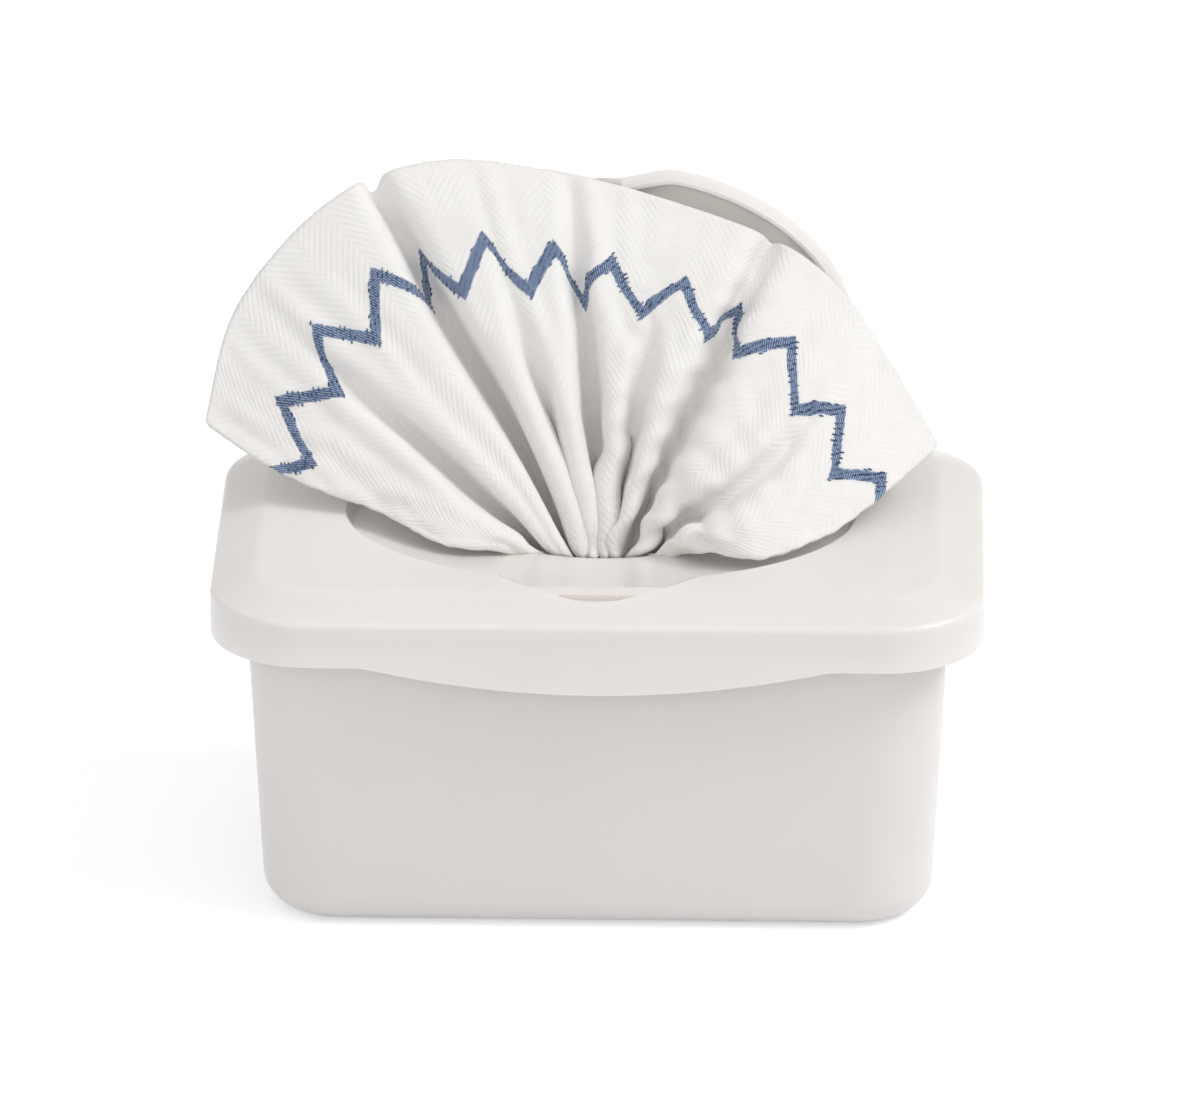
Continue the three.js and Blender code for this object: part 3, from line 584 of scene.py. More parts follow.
# The case is low under the recess and rises into the deck behind the oval
for case_front, case_top in ((pocket_front, ledge_z), (oval_back, deck_z - lid_wall / 2)):
    case = rectangle(-pocket_half - lid_wall, pocket_half + lid_wall, case_front, pocket_back + lid_wall)
    join_or_cut(lid_shell, prism("pocket_case", case, pocket_floor - lid_wall, case_top), "UNION")
pocket = rectangle(-pocket_half, pocket_half, pocket_front - 1 * mm, pocket_back)
join_or_cut(lid_shell, prism("pocket_cut", pocket, pocket_floor, above_deck), "DIFFERENCE")
for side in (-1, 1):
    from_x = min(side * ear_inner, side * ear_outer)
    to_x = max(side * ear_inner, side * ear_outer)
    foot = rectangle(from_x, to_x, hinge_y - ear_radius, hinge_y + ear_radius)
    join_or_cut(lid_shell, prism("ear_foot", foot, pocket_floor - lid_wall / 2, hinge_z), "UNION")
    join_or_cut(lid_shell, cross_rod("ear_eye", ear_radius, from_x, to_x, 40), "UNION")
    ear_bore = cross_rod("ear_bore", eye_radius, from_x - 1 * mm, to_x + 1 * mm, 28)
    join_or_cut(lid_shell, ear_bore, "DIFFERENCE")
lid_shell.data.set_sharp_from_angle(angle=math.radians(38))
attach(lid_shell, "lid")
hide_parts("lid")

# Flip cap
# An oval white cap with a rolled rim below, a latch tab at its front edge and a pin moulded on its
# back edge, which turns in the lid's ears. It is drawn closed and then swung open about the pin.
cap_thickness = 1.6 * mm
cap_rim_depth = 4 * mm
cap_rim_wall = 1.5 * mm
cap_dome = 1.6 * mm
cap_clearance = 0.5 * mm
cap_setback = 1.2 * mm
cut_half_width = 20 * mm
cut_depth = 4.3 * mm
cap_rim_inset = -recess_draft - 0.7 * mm
cap_top = deck_z + cap_proud
cap_under = cap_top - cap_thickness
cap_rim_bottom = cap_top - cap_rim_depth


def cap_edge(outset):
    grown = outset - cap_clearance
    oval = oval_outline(recess_half_width + grown, recess_front_reach + grown, recess_back_reach + grown,
                        recess_centre)

    def outline(angles):
        plan = oval(angles)
        plan[:, 1] = np.minimum(plan[:, 1], hinge_y - cap_setback + outset)
        share = np.clip(1 - (plan[:, 0] / cut_half_width) ** 2, 0, 1)
        plan[:, 1] += np.where(plan[:, 1] < 0, cut_depth * share ** 2, 0)
        return plan
    return outline


def shrunk(outline, share):
    centre = np.array([0, recess_centre])
    return lambda angles: centre + (outline(angles) - centre) * share


dome_shares = (0.15, 0.3, 0.45, 0.6, 0.72, 0.82, 0.9, 0.96)
cap_stations = [(shrunk(cap_edge(-cap_rim_wall - 1.2 * mm), share), cap_under + cap_dome * (1 - share ** 2))
                for share in dome_shares]
cap_stations += [
    (cap_edge(-cap_rim_wall - 1.2 * mm), cap_under),
    (cap_edge(-cap_rim_wall - 0.5 * mm), cap_under - 0.3 * mm),
    (cap_edge(cap_rim_inset - cap_rim_wall + 0.8 * mm), cap_under - 1.0 * mm),
    (cap_edge(cap_rim_inset - cap_rim_wall), cap_rim_bottom + 0.3 * mm),
    (cap_edge(cap_rim_inset - cap_rim_wall + 0.3 * mm), cap_rim_bottom),
    (cap_edge(cap_rim_inset - 0.3 * mm), cap_rim_bottom),
    (cap_edge(cap_rim_inset), cap_rim_bottom + 0.3 * mm),
    (cap_edge(-0.1 * mm), cap_top - 1.1 * mm),
    (cap_edge(0), cap_top - 0.7 * mm),
    (cap_edge(-0.25 * mm), cap_top - 0.2 * mm),
    (cap_edge(-0.8 * mm), cap_top),
]
cap_stations += [(shrunk(cap_edge(-0.8 * mm), share), cap_top + cap_dome * (1 - share ** 2))
                 for share in reversed(dome_shares)]
cap_poles = [(0, recess_centre, cap_under + cap_dome), (0, recess_centre, cap_top + cap_dome)]
cap_mesh = moulding("cap_shell", fine_directions, cap_stations, cap_poles)
cap_shell = place_piece("cap_shell", cap_mesh, lid_plastic)
tab_half_width = 4.2 * mm
tab_height = 1.4 * mm
tab_back = recess_front + cap_clearance + cut_depth - cap_rim_inset
tab = rectangle(-tab_half_width, tab_half_width, tab_back - 2.7 * mm, tab_back + 0.75 * mm)
join_or_cut(cap_shell, prism("latch_tab", tab, cap_rim_bottom, cap_rim_bottom + tab_height), "UNION")
ear_clear = math.hypot(ear_radius, ear_foot) + 0.35 * mm
ear_room_half = 2.5 * mm
for side in (-1, 1):
    middle = side * (ear_inner + ear_outer) / 2
    ear_room = cross_rod("ear_room", ear_clear, middle - ear_room_half, middle + ear_room_half, 40)
    join_or_cut(cap_shell, ear_room, "DIFFERENCE")
web = rectangle(-barrel_half_length, barrel_half_length, hinge_y - 3 * mm, hinge_y)
join_or_cut(cap_shell, prism("hinge_web", web, hinge_z - 0.5 * mm, cap_top - 0.7 * mm), "UNION")
barrel = cross_rod("hinge_barrel", 1.9 * mm, -barrel_half_length, barrel_half_length, 32)
join_or_cut(cap_shell, barrel, "UNION")
join_or_cut(cap_shell, cross_rod("hinge_pin", pin_radius, -ear_outer, ear_outer, 24), "UNION")
for vertex in cap_shell.data.vertices:
    along = vertex.co.y - hinge_y
    above = vertex.co.z - hinge_z
    vertex.co.y = hinge_y + along * math.cos(cap_open) + above * math.sin(cap_open)
    vertex.co.z = hinge_z - along * math.sin(cap_open) + above * math.cos(cap_open)
cap_shell.data.set_sharp_from_angle(angle=math.radians(38))
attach(cap_shell, "cap")
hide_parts("flip_cap")

# Folded cloths
# A stack of white split-fibre fleece cloths, each folded in four plies and then in half round the
# panels of its neighbours, so that pulling one brings up the next. Nothing fixes them.
panel_thickness = 2.6 * mm
plies = 4
ply_spacing = 1.04
ply_shifts = (0.0003, -0.0006, 0.0005, -0.0002)
bend_steps = 16
loop_scale = 1300


def fleece(name, color, ribs):
    """Split-fibre fleece: matt with a soft sheen, fine loops, and pressed chevron ribs."""
    material, nodes, links = new_material(name)
    output = new_node(nodes, "OutputMaterial")
    skin = new_node(nodes, "BsdfPrincipled", {
        "Roughness": 0.93,
        "Specular IOR Level": 0.18,
        "Sheen Weight": 0.35,
        "Sheen Roughness": 0.6,
        "Subsurface Weight": 0.25,
        "Subsurface Radius": (1.0, 0.95, 0.9),
        "Subsurface Scale": 0.0025,
    })
    place = new_node(nodes, "TexCoord")
    loops = new_node(nodes, "TexNoise", {"Scale": loop_scale, "Detail": 4, "Roughness": 0.65})
    mottle = new_node(nodes, "TexNoise", {"Scale": 90, "Detail": 3})
    duller = (color[0] * 0.95, color[1] * 0.945, color[2] * 0.94)
    tint = two_tones(nodes, 0.3, duller, 0.7, color)
    loop_bump = new_node(nodes, "Bump", {"Strength": 0.45, "Distance": 0.00035})
    links.new(place.outputs["Object"], loops.inputs["Vector"])
    links.new(place.outputs["Object"], mottle.inputs["Vector"])
    links.new(mottle.outputs[0], tint.inputs[0])
    links.new(tint.outputs[0], skin.inputs["Base Color"])
    links.new(loops.outputs[0], loop_bump.inputs["Height"])
    links.new(loop_bump.outputs[0], skin.inputs["Normal"])
    links.new(skin.outputs[0], output.inputs["Surface"])
    if not ribs:
        return material

    def step(operation, first, second=None, third=None):
        node = new_node(nodes, "Math")
        node.operation = operation
        for socket, value in zip(node.inputs, (first, second, third)):
            if isinstance(value, bpy.types.NodeSocket):
                links.new(value, socket)
            elif value is not None:
                socket.default_value = value
        return node.outputs[0]

    cloth_map = new_node(nodes, "UVMap")
    cloth_map.uv_map = "cloth"
    split = new_node(nodes, "SeparateXYZ")
    links.new(cloth_map.outputs["UV"], split.inputs[0])
    across = step("MULTIPLY", split.outputs["X"], cloth_width / mm)
    along = step("MULTIPLY", split.outputs["Y"], cloth_width / mm)
    folded = step("PINGPONG", step("ADD", across, stripe_phase), stripe_period / 2)
    zigzag = step("MULTIPLY_ADD", folded, 4 * stripe_reach / stripe_period, -stripe_reach)
    from_line = step("SUBTRACT", step("SUBTRACT", along, stripe_inset), zigzag)
    rib = step("SINE", step("MULTIPLY", from_line, 2 * math.pi / rib_pitch))
    pressed = step("MULTIPLY_ADD", rib, 0.5, 0.5)
    patchy = step("MULTIPLY", pressed, step("MULTIPLY_ADD", mottle.outputs[0], 1.4, -0.2))
    rib_bump = new_node(nodes, "Bump", {"Strength": 0.5, "Distance": 0.0004})
    links.new(patchy, rib_bump.inputs["Height"])
    links.new(rib_bump.outputs[0], loop_bump.inputs["Normal"])
    ragged = new_node(nodes, "TexNoise", {"Scale": 900})
    links.new(place.outputs["Object"], ragged.inputs["Vector"])
    slant_share = math.cos(math.atan(4 * stripe_reach / stripe_period))
    reach = step("MULTIPLY", step("ABSOLUTE", from_line), slant_share)
    rough_reach = step("MULTIPLY_ADD", ragged.outputs[0], 1.0, reach)
    half_stripe = stripe_width / 2
    band = new_node(nodes, "MapRange", {"From Min": half_stripe + 0.55, "From Max": half_stripe + 0.1})
    links.new(rough_reach, band.inputs["Value"])
    slanted = step("MULTIPLY_ADD", across, twill_turns, step("MULTIPLY", along, -0.6 * twill_turns))
    twill = step("SINE", slanted)
    hatch = step("MULTIPLY_ADD", twill, 0.5, 0.5)
    yarn = two_tones(nodes, 0.35, (0.06, 0.105, 0.22), 0.8, (0.33, 0.42, 0.56))
    links.new(hatch, yarn.inputs[0])
    dyed = new_node(nodes, "Mix")
    dyed.data_type = "RGBA"
    links.new(band.outputs[0], dyed.inputs["Factor"])
    links.new(tint.outputs[0], dyed.inputs["A"])
    links.new(yarn.outputs[0], dyed.inputs["B"])
    links.new(dyed.outputs["Result"], skin.inputs["Base Color"])
    return material


def new_tree(name, inputs):
    """An empty geometry tree with named inputs, and its group input and output nodes."""
    tree = bpy.data.node_groups.new(name, "GeometryNodeTree")
    tree.interface.new_socket("Geometry", in_out="INPUT", socket_type="NodeSocketGeometry")
    for label, kind in inputs:
        tree.interface.new_socket(label, in_out="INPUT", socket_type=kind)
    tree.interface.new_socket("Geometry", in_out="OUTPUT", socket_type="NodeSocketGeometry")
    return tree, tree.nodes.new("NodeGroupInput"), tree.nodes.new("NodeGroupOutput")


def end_tree(tree, grown, tree_in, tree_out):
    """Makes what a tree grew real, gives it the finish and passes it on."""
    real = tree.nodes.new("GeometryNodeRealizeInstances")
    finished = tree.nodes.new("GeometryNodeSetMaterial")
    tree.links.new(grown, real.inputs["Geometry"])
    tree.links.new(real.outputs["Geometry"], finished.inputs["Geometry"])
    tree.links.new(tree_in.outputs["Finish"], finished.inputs["Material"])
    tree.links.new(finished.outputs["Geometry"], tree_out.inputs["Geometry"])


def grown_by(tree, piece, values):
    """Runs a geometry tree on a piece with named values and leaves a plain mesh."""
    change = piece.modifiers.new("grow", "NODES")
    change.node_group = tree
    for item in tree.interface.items_tree:
        if item.item_type == "SOCKET" and item.in_out == "INPUT" and item.name in values:
            change[item.identifier] = values[item.name]
    depsgraph = bpy.context.evaluated_depsgraph_get()
    result = bpy.data.meshes.new_from_object(piece.evaluated_get(depsgraph))
    piece.modifiers.remove(change)
    piece.data = result


# The tree sweeps a thin ply along the cloth's folded path, once for each ply
ply_tree, tree_in, tree_out = new_tree("folded_plies", [
    ("Width", "NodeSocketFloat"), ("Ply", "NodeSocketFloat"), ("Finish", "NodeSocketMaterial")])
add = ply_tree.nodes.new
join = ply_tree.links.new
path = add("GeometryNodeMeshToCurve")
join(tree_in.outputs["Geometry"], path.inputs["Mesh"])
section = add("GeometryNodeCurvePrimitiveQuadrilateral")
join(tree_in.outputs["Width"], section.inputs["Width"])
join(tree_in.outputs["Ply"], section.inputs["Height"])
rounding = add("ShaderNodeMath")
rounding.operation = "MULTIPLY"
rounding.inputs[1].default_value = 0.45
join(tree_in.outputs["Ply"], rounding.inputs[0])
rounded = add("GeometryNodeFilletCurve")
rounded.mode = "POLY"
rounded.inputs["Count"].default_value = 3
join(section.outputs["Curve"], rounded.inputs["Curve"])
join(rounding.outputs[0], rounded.inputs["Radius"])
gathered_plies = add("GeometryNodeJoinGeometry")
for ply in range(plies):
    offset = add("ShaderNodeMath")
    offset.operation = "MULTIPLY"
    offset.inputs[1].default_value = (ply - (plies - 1) / 2) * ply_spacing
    join(tree_in.outputs["Ply"], offset.inputs[0])
    shift = add("ShaderNodeCombineXYZ")
    shift.inputs["X"].default_value = ply_shifts[ply]
    join(offset.outputs[0], shift.inputs["Y"])
    moved = add("GeometryNodeTransform")
    join(rounded.outputs["Curve"], moved.inputs["Geometry"])
    join(shift.outputs[0], moved.inputs["Translation"])
    swept = add("GeometryNodeCurveToMesh")
    swept.inputs["Fill Caps"].default_value = True
    join(path.outputs["Curve"], swept.inputs["Curve"])
    join(moved.outputs["Geometry"], swept.inputs["Profile Curve"])
    join(swept.outputs["Mesh"], gathered_plies.inputs["Geometry"])
end_tree(ply_tree, gathered_plies.outputs["Geometry"], tree_in, tree_out)

stack_fleece = fleece("stack_fleece", (0.85, 0.84, 0.825), False)
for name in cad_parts:
    if not name.startswith("folded_cloth"):
        continue
    low, high = (Vector(corner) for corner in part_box(name))
    bend_side = 1 if high.y > -low.y else -1
    free_y = low.y if bend_side > 0 else high.y
    bend_radius = (high.z - low.z - panel_thickness) / 2
    bend_y = (high.y if bend_side > 0 else low.y) - bend_side * (bend_radius + panel_thickness / 2)
    middle_z = (high.z + low.z) / 2
    points = [(0, free_y, middle_z + bend_radius)]
    for step in range(bend_steps + 1):
        turn = math.pi * step / bend_steps
        bent_y = bend_y + bend_side * bend_radius * math.sin(turn)
        points.append((0, bent_y, middle_z + bend_radius * math.cos(turn)))
    points.append((0, free_y, middle_z - bend_radius))
    path_mesh = bpy.data.meshes.new(name + "_path")
    path_mesh.from_pydata(points, [(i, i + 1) for i in range(len(points) - 1)], [])
    folded = new_object(name.replace("folded_cloth", "fleece_cloth"), path_mesh)
    grown_by(ply_tree, folded, {
        "Width": high.x - low.x - 1.2 * mm,
        "Ply": panel_thickness / plies / ply_spacing,
        "Finish": stack_fleece,
    })
    folded.data.set_sharp_from_angle(angle=math.radians(60))
    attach(folded, "tub")
    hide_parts(name)


# Pop-up cloth
# One cloth of the stack pulled half out through the slot: its free edge fans out over the lid in
# front of the open cap, and its tail lies folded on the stack. A blue zigzag is knitted in.
cloth_width = 325 * mm
cloth_thickness = 1 * mm
pulled = 108.0
stripe_inset = 29.0
stripe_reach = 6.5
stripe_period = 27.0
stripe_phase = 4.0
stripe_width = 3.7
rib_pitch = 2.3
twill_turns = 7.4
grid_step = 2.5
gather_centre = (-1.5, -7.0, 87.2)
gather_half_width = 18.0
gather_bow = 3.6
swell_forward = 7.0
swell_up = 4.0
wave_height = 1.1
fold_back = np.array([0.0, 0.9, -0.43])
edge_samples = 600
drape_steps = 200
motion_kept = 0.92
fall_per_step = 0.012
pull_to_shape = 0.012
height_over_lid = 0.8
gap_to_cap = 5.5

# The free edge from the left corner to the right one: across, back and up from a point over the slot
free_edge = np.array([
    (-104.0, 11.9, 25.4), (-96.0, 28.1, 51.8), (-72.0, 40.5, 76.7), (-43.5, 46.4, 85.9), (-10.0, 45.9, 82.4),
    (18.0, 43.2, 75.8), (46.0, 36.2, 67.5), (62.0, 30.2, 56.7), (74.0, 22.1, 41.6), (87.7, 10.3, 21.6),
]) + np.array([0.0, 5.0, 89.35])
# Where each side edge runs from its corner down to the slot, over the deck and into the bowl
left_side = np.array([free_edge[0], (-91, 9, 108.6), (-77, 3, 103.5), (-58, -3, 98.6), (-41, -12, 93.6),
                      (-28, -10, 91.0), (-19.5, -3.4, 87.2)])
right_side = np.array([free_edge[-1], (74, -1, 104.5), (60, -14, 98.4), (43, -24, 95.5), (29, -17, 94.0),
                       (16.5, -3.4, 87.2)])


def smooth_line(points, count):
    """Evenly spaced points on a smooth line through the given ones."""
    padded = np.vstack([2 * points[0] - points[1], points, 2 * points[-1] - points[-2]])
    fine = []
    for i in range(1, len(padded) - 2):
        a, b, c, d = padded[i - 1:i + 3]
        for t in np.linspace(0, 1, 40, endpoint=False):
            fine.append(0.5 * (2 * b + (c - a) * t + (2 * a - 5 * b + 4 * c - d) * t ** 2
                               + (3 * b - a - 3 * c + d) * t ** 3))
    fine.append(points[-1])
    fine = np.array(fine)
    travel = np.concatenate([[0], np.cumsum(np.linalg.norm(np.diff(fine, axis=0), axis=1))])
    wanted = np.linspace(0, travel[-1], count)
    return np.stack([np.interp(wanted, travel, fine[:, k]) for k in range(3)], axis=1)


def ease(low, high, value):
    part = np.clip((value - low) / (high - low), 0, 1)
    return part * part * (3 - 2 * part)


columns = int(round(cloth_width / mm / grid_step)) + 1
rows = int(round(pulled / grid_step)) + 1
u = np.linspace(0, 1, columns)
out = 1 - np.linspace(0, 1, rows)[:, None]
inward = 1 - out
# Creases that run from the slot towards the free edge: place across the cloth, half width at the
# free edge and at the slot, and how far in from the free edge each starts
creases = [
    (0.135, 0.000, 0.066, 0.15),
    (0.305, 0.034, 0.068, 0.00),
    (0.415, 0.000, 0.058, 0.30),
    (0.520, 0.008, 0.064, 0.00),
    (0.625, 0.000, 0.058, 0.25),
    (0.735, 0.030, 0.066, 0.00),
    (0.880, 0.000, 0.066, 0.20),
]
pace = np.ones((rows, columns))
sink = np.zeros((rows, columns))
for place, at_edge, at_slot, start in creases:
    half = at_edge + (at_slot - at_edge) * ease(start, 1.0, inward) ** 0.7
    bump = np.cos(np.clip(np.abs(u - place) / np.maximum(half, 0.002), 0, 1) * np.pi / 2) ** 2
    pace -= 0.95 * bump
    sink += np.minimum(half * cloth_width / mm * 1.15, 16 + 12 * out) * bump * (half > 0.002)
spread = np.concatenate([np.zeros((rows, 1)), np.cumsum((pace[:, 1:] + pace[:, :-1]) / 2, axis=1)], axis=1)
spread /= spread[:, -1:]
edge_line = smooth_line(free_edge, edge_samples)
edge_share = np.linspace(0, 1, edge_samples)
edge_points = np.stack([np.interp(spread, edge_share, edge_line[:, k]) for k in range(3)], axis=2)
gather_points = np.zeros((rows, columns, 3)) + np.array(gather_centre)
gather_points[..., 0] += gather_half_width * (2 * spread - 1)
gather_points[..., 1] += gather_bow * (2 * spread - 1) ** 2
fan = gather_points * (1 - out[..., None]) + edge_points * out[..., None]
swell = 4 * out * (1 - out)
fan[..., 1] -= swell * swell_forward
fan[..., 2] += swell * swell_up
left_line = smooth_line(left_side, rows)
right_line = smooth_line(right_side, rows)
left_shift = left_line - fan[:, 0]
right_shift = right_line - fan[:, -1]
left_hold = 1 - ease(0.0, 0.24, u)
right_hold = 1 - ease(0.0, 0.30, 1 - u)
side_shift = left_hold[None, :, None] * left_shift[:, None] + right_hold[None, :, None] * right_shift[:, None]
fan = fan + side_shift
middle_share = np.sin(np.pi * np.clip(u, 0, 1)) ** 0.35
soft_wave = (np.sin(2 * np.pi * 3.1 * u + 0.5) + 0.6 * np.sin(2 * np.pi * 5.7 * u + 2.0)) * middle_share
fan += (sink * middle_share - wave_height * swell * soft_wave)[..., None] * fold_back


def lid_top(x, y):
    """Height of the lid's upper surface in millimetres, which the cloth rests on."""
    from_centre = y - recess_centre / mm
    reach = np.where(from_centre < 0, recess_front_reach / mm, recess_back_reach / mm)
    from_middle = np.hypot(x / (recess_half_width / mm), from_centre / reach)
    fall = bowl_depth / mm * np.sin(np.clip((0.96 - from_middle) / 0.7, 0, 1) * np.pi / 2)
    ledge = ledge_z / mm - fall
    top = np.where(from_middle < 0.97, ledge, deck_z / mm)
    beside = (np.abs(x) > 88) | (np.abs(y) > 50)
    return np.where(beside, deck_z / mm - 5, top)


def drape(points, steps):
    """Lets the pulled cloth settle. It resists sharp bends and rests on the lid. Along the pull it
    keeps about its cut length. Across, it is let out from its gathered start by up to 30 percent,
    and never past its cut width, so it shows less cloth than the cut near the slot."""
    target = points.copy()
    before = points.copy()
    cloth = points.copy()
    across_now = np.linalg.norm(np.diff(points, axis=1), axis=-1)
    mass_free = np.ones(cloth.shape[:2])
    mass_free[0] = 0.25
    mass_free[-1] = 0
    one_step = np.minimum(across_now * (1.08 + 0.22 * inward[:, :1]), grid_step)
    travel = np.concatenate([np.zeros((rows, 1)), np.cumsum(one_step, axis=1)], axis=1)
    ties = []
    for jump, stiffness, share in ((1, 0.9, 1.0), (2, 0.6, 0.94), (4, 0.4, 0.76), (8, 0.2, 0.4)):
        for phase in range(2):
            keep = (np.arange(columns - jump) // jump) % 2 == phase
            ties.append(("across", jump, np.flatnonzero(keep), stiffness, share))
            keep = (np.arange(rows - jump) // jump) % 2 == phase
            ties.append(("along", jump, np.flatnonzero(keep), stiffness, share))
    for _ in range(steps):
        motion = (cloth - before) * motion_kept
        before = cloth.copy()
        cloth = cloth + motion * mass_free[..., None]
        cloth[..., 2] -= fall_per_step * mass_free
        cloth += (target - cloth) * (pull_to_shape * mass_free)[..., None]
        cloth[0] += (target[0] - cloth[0]) * 0.25
        cloth[:, 0] += (target[:, 0] - cloth[:, 0]) * 0.08
        cloth[:, -1] += (target[:, -1] - cloth[:, -1]) * 0.08
        for kind, jump, starts, stiffness, share in ties:
            if kind == "across":
                a = (slice(None), starts)
                b = (slice(None), starts + jump)
                rest = travel[b] - travel[a]
            else:
                a = (starts, slice(None))
                b = (starts + jump, slice(None))
                rest = grid_step * jump
            gap = cloth[b] - cloth[a]
            length = np.linalg.norm(gap, axis=-1) + 1e-9
            if jump == 1:
                error = length - rest
            else:
                # A longer tie only pushes, so that it opens sharp bends
                error = np.minimum(length - rest * share, 0)
            free_a = mass_free[a]
            free_b = mass_free[b]
            push = stiffness * error / length / np.maximum(free_a + free_b, 1e-9)
            cloth[a] += gap * (push * free_a)[..., None]
            cloth[b] -= gap * (push * free_b)[..., None]
        floor = lid_top(cloth[..., 0], cloth[..., 1]) + height_over_lid
        sunk = (cloth[..., 2] < floor) & (mass_free > 0) & (out > 0.16)
        cloth[..., 2] = np.where(sunk, floor, cloth[..., 2])
        back = hinge_y / mm + (cloth[..., 2] - hinge_z / mm) * math.tan(lean) - gap_to_cap
        behind = (cloth[..., 1] > back) & (cloth[..., 2] > deck_z / mm)
        cloth[..., 1] = np.where(behind, back, cloth[..., 1])
    # Two rounds of smoothing take the last kinks out
    for _ in range(2):
        around = (cloth[:-2, 1:-1] + cloth[2:, 1:-1] + cloth[1:-1, :-2] + cloth[1:-1, 2:]) / 4
        cloth[1:-1, 1:-1] += 0.5 * (around - cloth[1:-1, 1:-1])
        beside = (cloth[0, :-2] + cloth[0, 2:]) / 2
        cloth[0, 1:-1] += 0.5 * (beside - cloth[0, 1:-1])
    return cloth


settled = drape(fan, drape_steps)


def sheet_mesh(name, points, start_along):
    """A sheet of quads over a grid of points in millimetres, with its cut size as a UV map."""
    deep, wide = points.shape[:2]
    mesh = bpy.data.meshes.new(name)
    faces = []
    for r in range(deep - 1):
        for c in range(wide - 1):
            first = r * wide + c
            faces.append((first, first + wide, first + wide + 1, first + 1))
    mesh.from_pydata((points.reshape(-1, 3) * mm).tolist(), [], faces)
    layer_map = mesh.uv_layers.new(name="cloth")
    place = np.empty((deep, wide, 2))
    place[..., 0] = np.linspace(0, 1, wide)[None]
    place[..., 1] = (np.asarray(start_along) / (cloth_width / mm))[:, None]
    corner = np.empty(len(mesh.loops), dtype=np.int64)
    mesh.loops.foreach_get("vertex_index", corner)
    layer_map.data.foreach_set("uv", place.reshape(-1, 2)[corner].ravel())
    return mesh


def cloth_piece(name, mesh, material, thickness):
    mesh.materials.append(material)
    mesh.polygons.foreach_set("use_smooth", [True] * len(mesh.polygons))
    piece = new_object(name, mesh)
    finer = piece.modifiers.new("finer", "SUBSURF")
    finer.levels = 1
    finer.render_levels = 1
    wall = piece.modifiers.new("wall", "SOLIDIFY")
    wall.thickness = thickness
    wall.offset = 0
    return piece


popup_fleece = fleece("popup_fleece", (0.86, 0.845, 0.83), True)
popup_fan = cloth_piece("popup_fan", sheet_mesh("popup_fan", settled, np.linspace(0, pulled, rows)),
                        popup_fleece, cloth_thickness)

# The tail drops from the slot, spreads to the folded width and turns twice on top of the stack
stack_top = max(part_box(name)[1][2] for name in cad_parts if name.startswith("folded_cloth")) / mm
tail_ply = 0.7
tail_ply_pitch = 0.75
tail_pitch = 2.3
tail_turn = tail_pitch / 2
tail_low_z = stack_top + 0.2 + 1.5 * tail_ply_pitch
tail_top_z = tail_low_z + 2 * tail_pitch
tail_reach = 36.5
tail_lean = 3.0
tail_spread = 40.0
tail_half_width = 73.5
tail_drop = gather_centre[2] - tail_top_z
tail_legs = [tail_drop, tail_reach - gather_centre[1] - tail_lean, math.pi * tail_turn, 2 * tail_reach,
             math.pi * tail_turn, 2 * tail_reach]
tail_length = sum(tail_legs)
tail_rows = 84
tail_steps = np.linspace(0, tail_length, tail_rows)


def tail_centre(down):
    """The tail's route in (y, z), and the direction square to it, after a length from the slot."""
    leg = 0
    while leg < len(tail_legs) - 1 and down > tail_legs[leg]:
        down -= tail_legs[leg]
        leg += 1
    if leg == 0:
        share = down / tail_drop
        return (gather_centre[1] + tail_lean * share ** 2, gather_centre[2] - down), (1, 0)
    if leg == 1:
        return (gather_centre[1] + tail_lean + down, tail_top_z), (0, 1)
    level = tail_top_z - tail_pitch * (leg // 2)
    side = 1 if leg in (2, 3) else -1
    if leg % 2 == 1:
        return (side * (tail_reach - down), level), (0, -side)
    turn = down / tail_turn
    return ((side * (tail_reach + tail_turn * math.sin(turn)), level + tail_turn * (1 + math.cos(turn))),
            (math.sin(turn), side * math.cos(turn)))


across_cloth = u * cloth_width / mm
flap = (cloth_width / mm - 2 * tail_half_width) / 2
ply_x = np.interp(across_cloth, [0, flap, flap + 2 * tail_half_width, cloth_width / mm],
                  [-tail_half_width + flap, -tail_half_width, tail_half_width, tail_half_width - flap])
ply_level = np.interp(across_cloth, [0, flap - 1.2, flap + 1.2, cloth_width / mm - flap - 1.2,
                                     cloth_width / mm - flap + 1.2, cloth_width / mm],
                      [-1, -1, 0, 0, 1, 1]) * tail_ply_pitch
tail = np.zeros((tail_rows, columns, 3))
for r, down in enumerate(tail_steps):
    (centre_y, centre_z), (square_y, square_z) = tail_centre(down)
    folded_row = np.stack([ply_x, centre_y + ply_level * square_y, centre_z + ply_level * square_z], axis=1)
    gathered_row = settled[-1] + np.array([0, centre_y - gather_centre[1], centre_z - gather_centre[2]])
    opened = ease(0, tail_spread, np.array(down))
    tail[r] = gathered_row * (1 - opened) + folded_row * opened
popup_tail = cloth_piece("popup_tail", sheet_mesh("popup_tail", tail, pulled + tail_steps), popup_fleece,
                         tail_ply * mm)
for piece in (popup_fan, popup_tail):
    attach(piece, "lid")
    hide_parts("popup_cloth")
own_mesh(popup_fan)

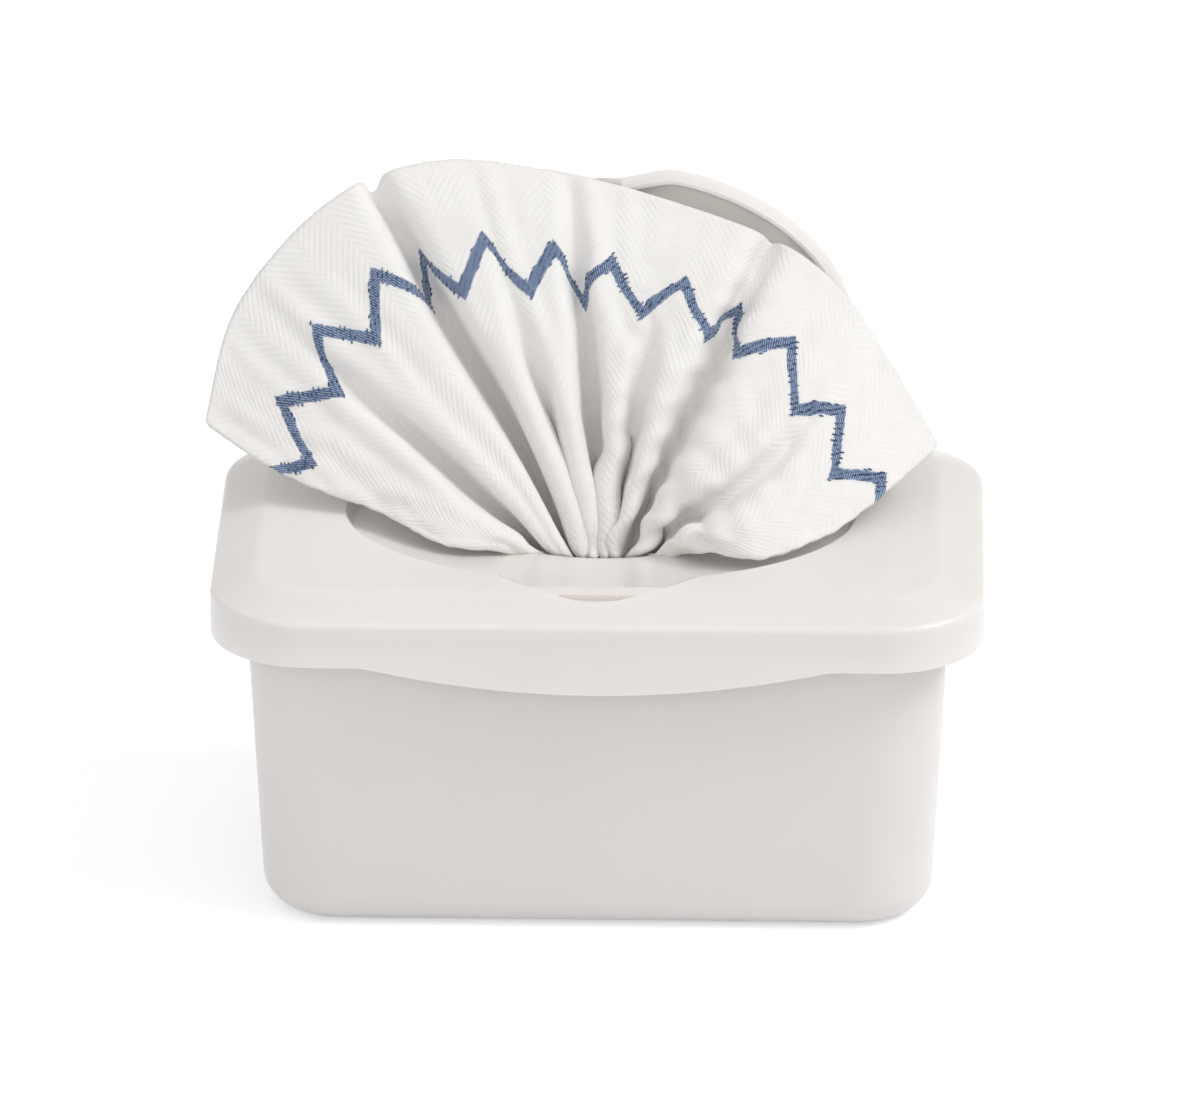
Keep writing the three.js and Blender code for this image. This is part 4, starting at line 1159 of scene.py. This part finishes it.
# Blue zigzag
# Short slanted floats of blue yarn knitted into the pop-up cloth beside its free edge. They stand
# a little proud of the fleece and follow its folds.
float_pitch_across = 1.85
float_pitch_along = 1.25
float_slant = math.radians(-38)
float_reach = 1.75
stitch_random = np.random.RandomState(11)
lattice = []
for row in range(int((stripe_inset - 12) / float_pitch_along), int((stripe_inset + 12) / float_pitch_along)):
    for column in range(1, int(cloth_width / mm / float_pitch_across)):
        lattice.append(((column + 0.5 * (row % 2)) * float_pitch_across, row * float_pitch_along))
lattice = np.array(lattice)
lattice += stitch_random.uniform(-0.12, 0.12, lattice.shape)
folded_across = np.abs((lattice[:, 0] + stripe_phase) % stripe_period - stripe_period / 2)
folded_across = stripe_period / 2 - folded_across
zigzag_at = stripe_inset - stripe_reach + 4 * stripe_reach / stripe_period * folded_across
lean_share = math.cos(math.atan(4 * stripe_reach / stripe_period))
from_zigzag = np.abs(lattice[:, 1] - zigzag_at) * lean_share
near = from_zigzag + stitch_random.uniform(-0.35, 0.35, len(lattice)) < float_reach
near &= (lattice[:, 0] > 1) & (lattice[:, 0] < cloth_width / mm - 1)
lattice = lattice[near]


def on_fan(across, along):
    """Points of the settled fan at places given in millimetres on the flat cloth."""
    column = np.clip(across / (cloth_width / mm) * (columns - 1), 0, columns - 1.001)
    row = np.clip(along / pulled * (rows - 1), 0, rows - 1.001)
    c = column.astype(int)
    r = row.astype(int)
    a = (column - c)[:, None]
    b = (row - r)[:, None]
    upper = settled[r, c] * (1 - a) + settled[r, c + 1] * a
    lower = settled[r + 1, c] * (1 - a) + settled[r + 1, c + 1] * a
    return upper * (1 - b) + lower * b


middle = on_fan(lattice[:, 0], lattice[:, 1])
ahead = on_fan(lattice[:, 0] + 1, lattice[:, 1]) - on_fan(lattice[:, 0] - 1, lattice[:, 1])
down_cloth = on_fan(lattice[:, 0], lattice[:, 1] + 1) - on_fan(lattice[:, 0], lattice[:, 1] - 1)
outward = -np.cross(ahead, down_cloth)
outward /= np.linalg.norm(outward, axis=1, keepdims=True)
run = ahead * math.cos(float_slant) + down_cloth * math.sin(float_slant)
run /= np.linalg.norm(run, axis=1, keepdims=True)
yarn_points = bpy.data.meshes.new("yarn_points")
yarn_points.from_pydata(((middle + outward * 0.56) * mm).tolist(), [], [])
for label, vectors in (("run", run), ("outward", outward)):
    attribute = yarn_points.attributes.new(label, "FLOAT_VECTOR", "POINT")
    attribute.data.foreach_set("vector", vectors.ravel())

yarn_tree, tree_in, tree_out = new_tree("yarn_floats", [
    ("Yarn length", "NodeSocketFloat"), ("Yarn width", "NodeSocketFloat"), ("Finish", "NodeSocketMaterial")])
add = yarn_tree.nodes.new
join = yarn_tree.links.new
bead = add("GeometryNodeMeshIcoSphere")
bead.inputs["Radius"].default_value = 0.5
bead.inputs["Subdivisions"].default_value = 2
bead_size = add("ShaderNodeCombineXYZ")
join(tree_in.outputs["Yarn length"], bead_size.inputs["X"])
join(tree_in.outputs["Yarn width"], bead_size.inputs["Y"])
join(tree_in.outputs["Yarn width"], bead_size.inputs["Z"])
turned = None
for label, axis, pivot in (("run", "X", "AUTO"), ("outward", "Z", "X")):
    vector = add("GeometryNodeInputNamedAttribute")
    vector.data_type = "FLOAT_VECTOR"
    vector.inputs["Name"].default_value = label
    aim = add("FunctionNodeAlignRotationToVector")
    aim.axis = axis
    aim.pivot_axis = pivot
    join(vector.outputs["Attribute"], aim.inputs["Vector"])
    if turned:
        join(turned.outputs["Rotation"], aim.inputs["Rotation"])
    turned = aim
placed = add("GeometryNodeInstanceOnPoints")
join(tree_in.outputs["Geometry"], placed.inputs["Points"])
join(bead.outputs["Mesh"], placed.inputs["Instance"])
join(turned.outputs["Rotation"], placed.inputs["Rotation"])
join(bead_size.outputs[0], placed.inputs["Scale"])
end_tree(yarn_tree, placed.outputs["Instances"], tree_in, tree_out)

yarn_blue, nodes, links = new_material("yarn_blue")
output = new_node(nodes, "OutputMaterial")
skin = new_node(nodes, "BsdfPrincipled", {"Roughness": 0.85, "Sheen Weight": 0.3, "Sheen Roughness": 0.5})
place = new_node(nodes, "TexCoord")
shade = new_node(nodes, "TexNoise", {"Scale": 850, "Detail": 2})
blues = two_tones(nodes, 0.42, (0.025, 0.045, 0.11), 0.6, (0.20, 0.27, 0.43))
links.new(place.outputs["Object"], shade.inputs["Vector"])
links.new(shade.outputs[0], blues.inputs[0])
links.new(blues.outputs[0], skin.inputs["Base Color"])
links.new(skin.outputs[0], output.inputs["Surface"])

blue_zigzag = new_object("blue_zigzag", yarn_points)
grown_by(yarn_tree, blue_zigzag, {"Yarn length": 1.5 * mm, "Yarn width": 0.52 * mm, "Finish": yarn_blue})
blue_zigzag.data.polygons.foreach_set("use_smooth", [True] * len(blue_zigzag.data.polygons))
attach(blue_zigzag, "lid")
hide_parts("cloth_stripe")
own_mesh(blue_zigzag)
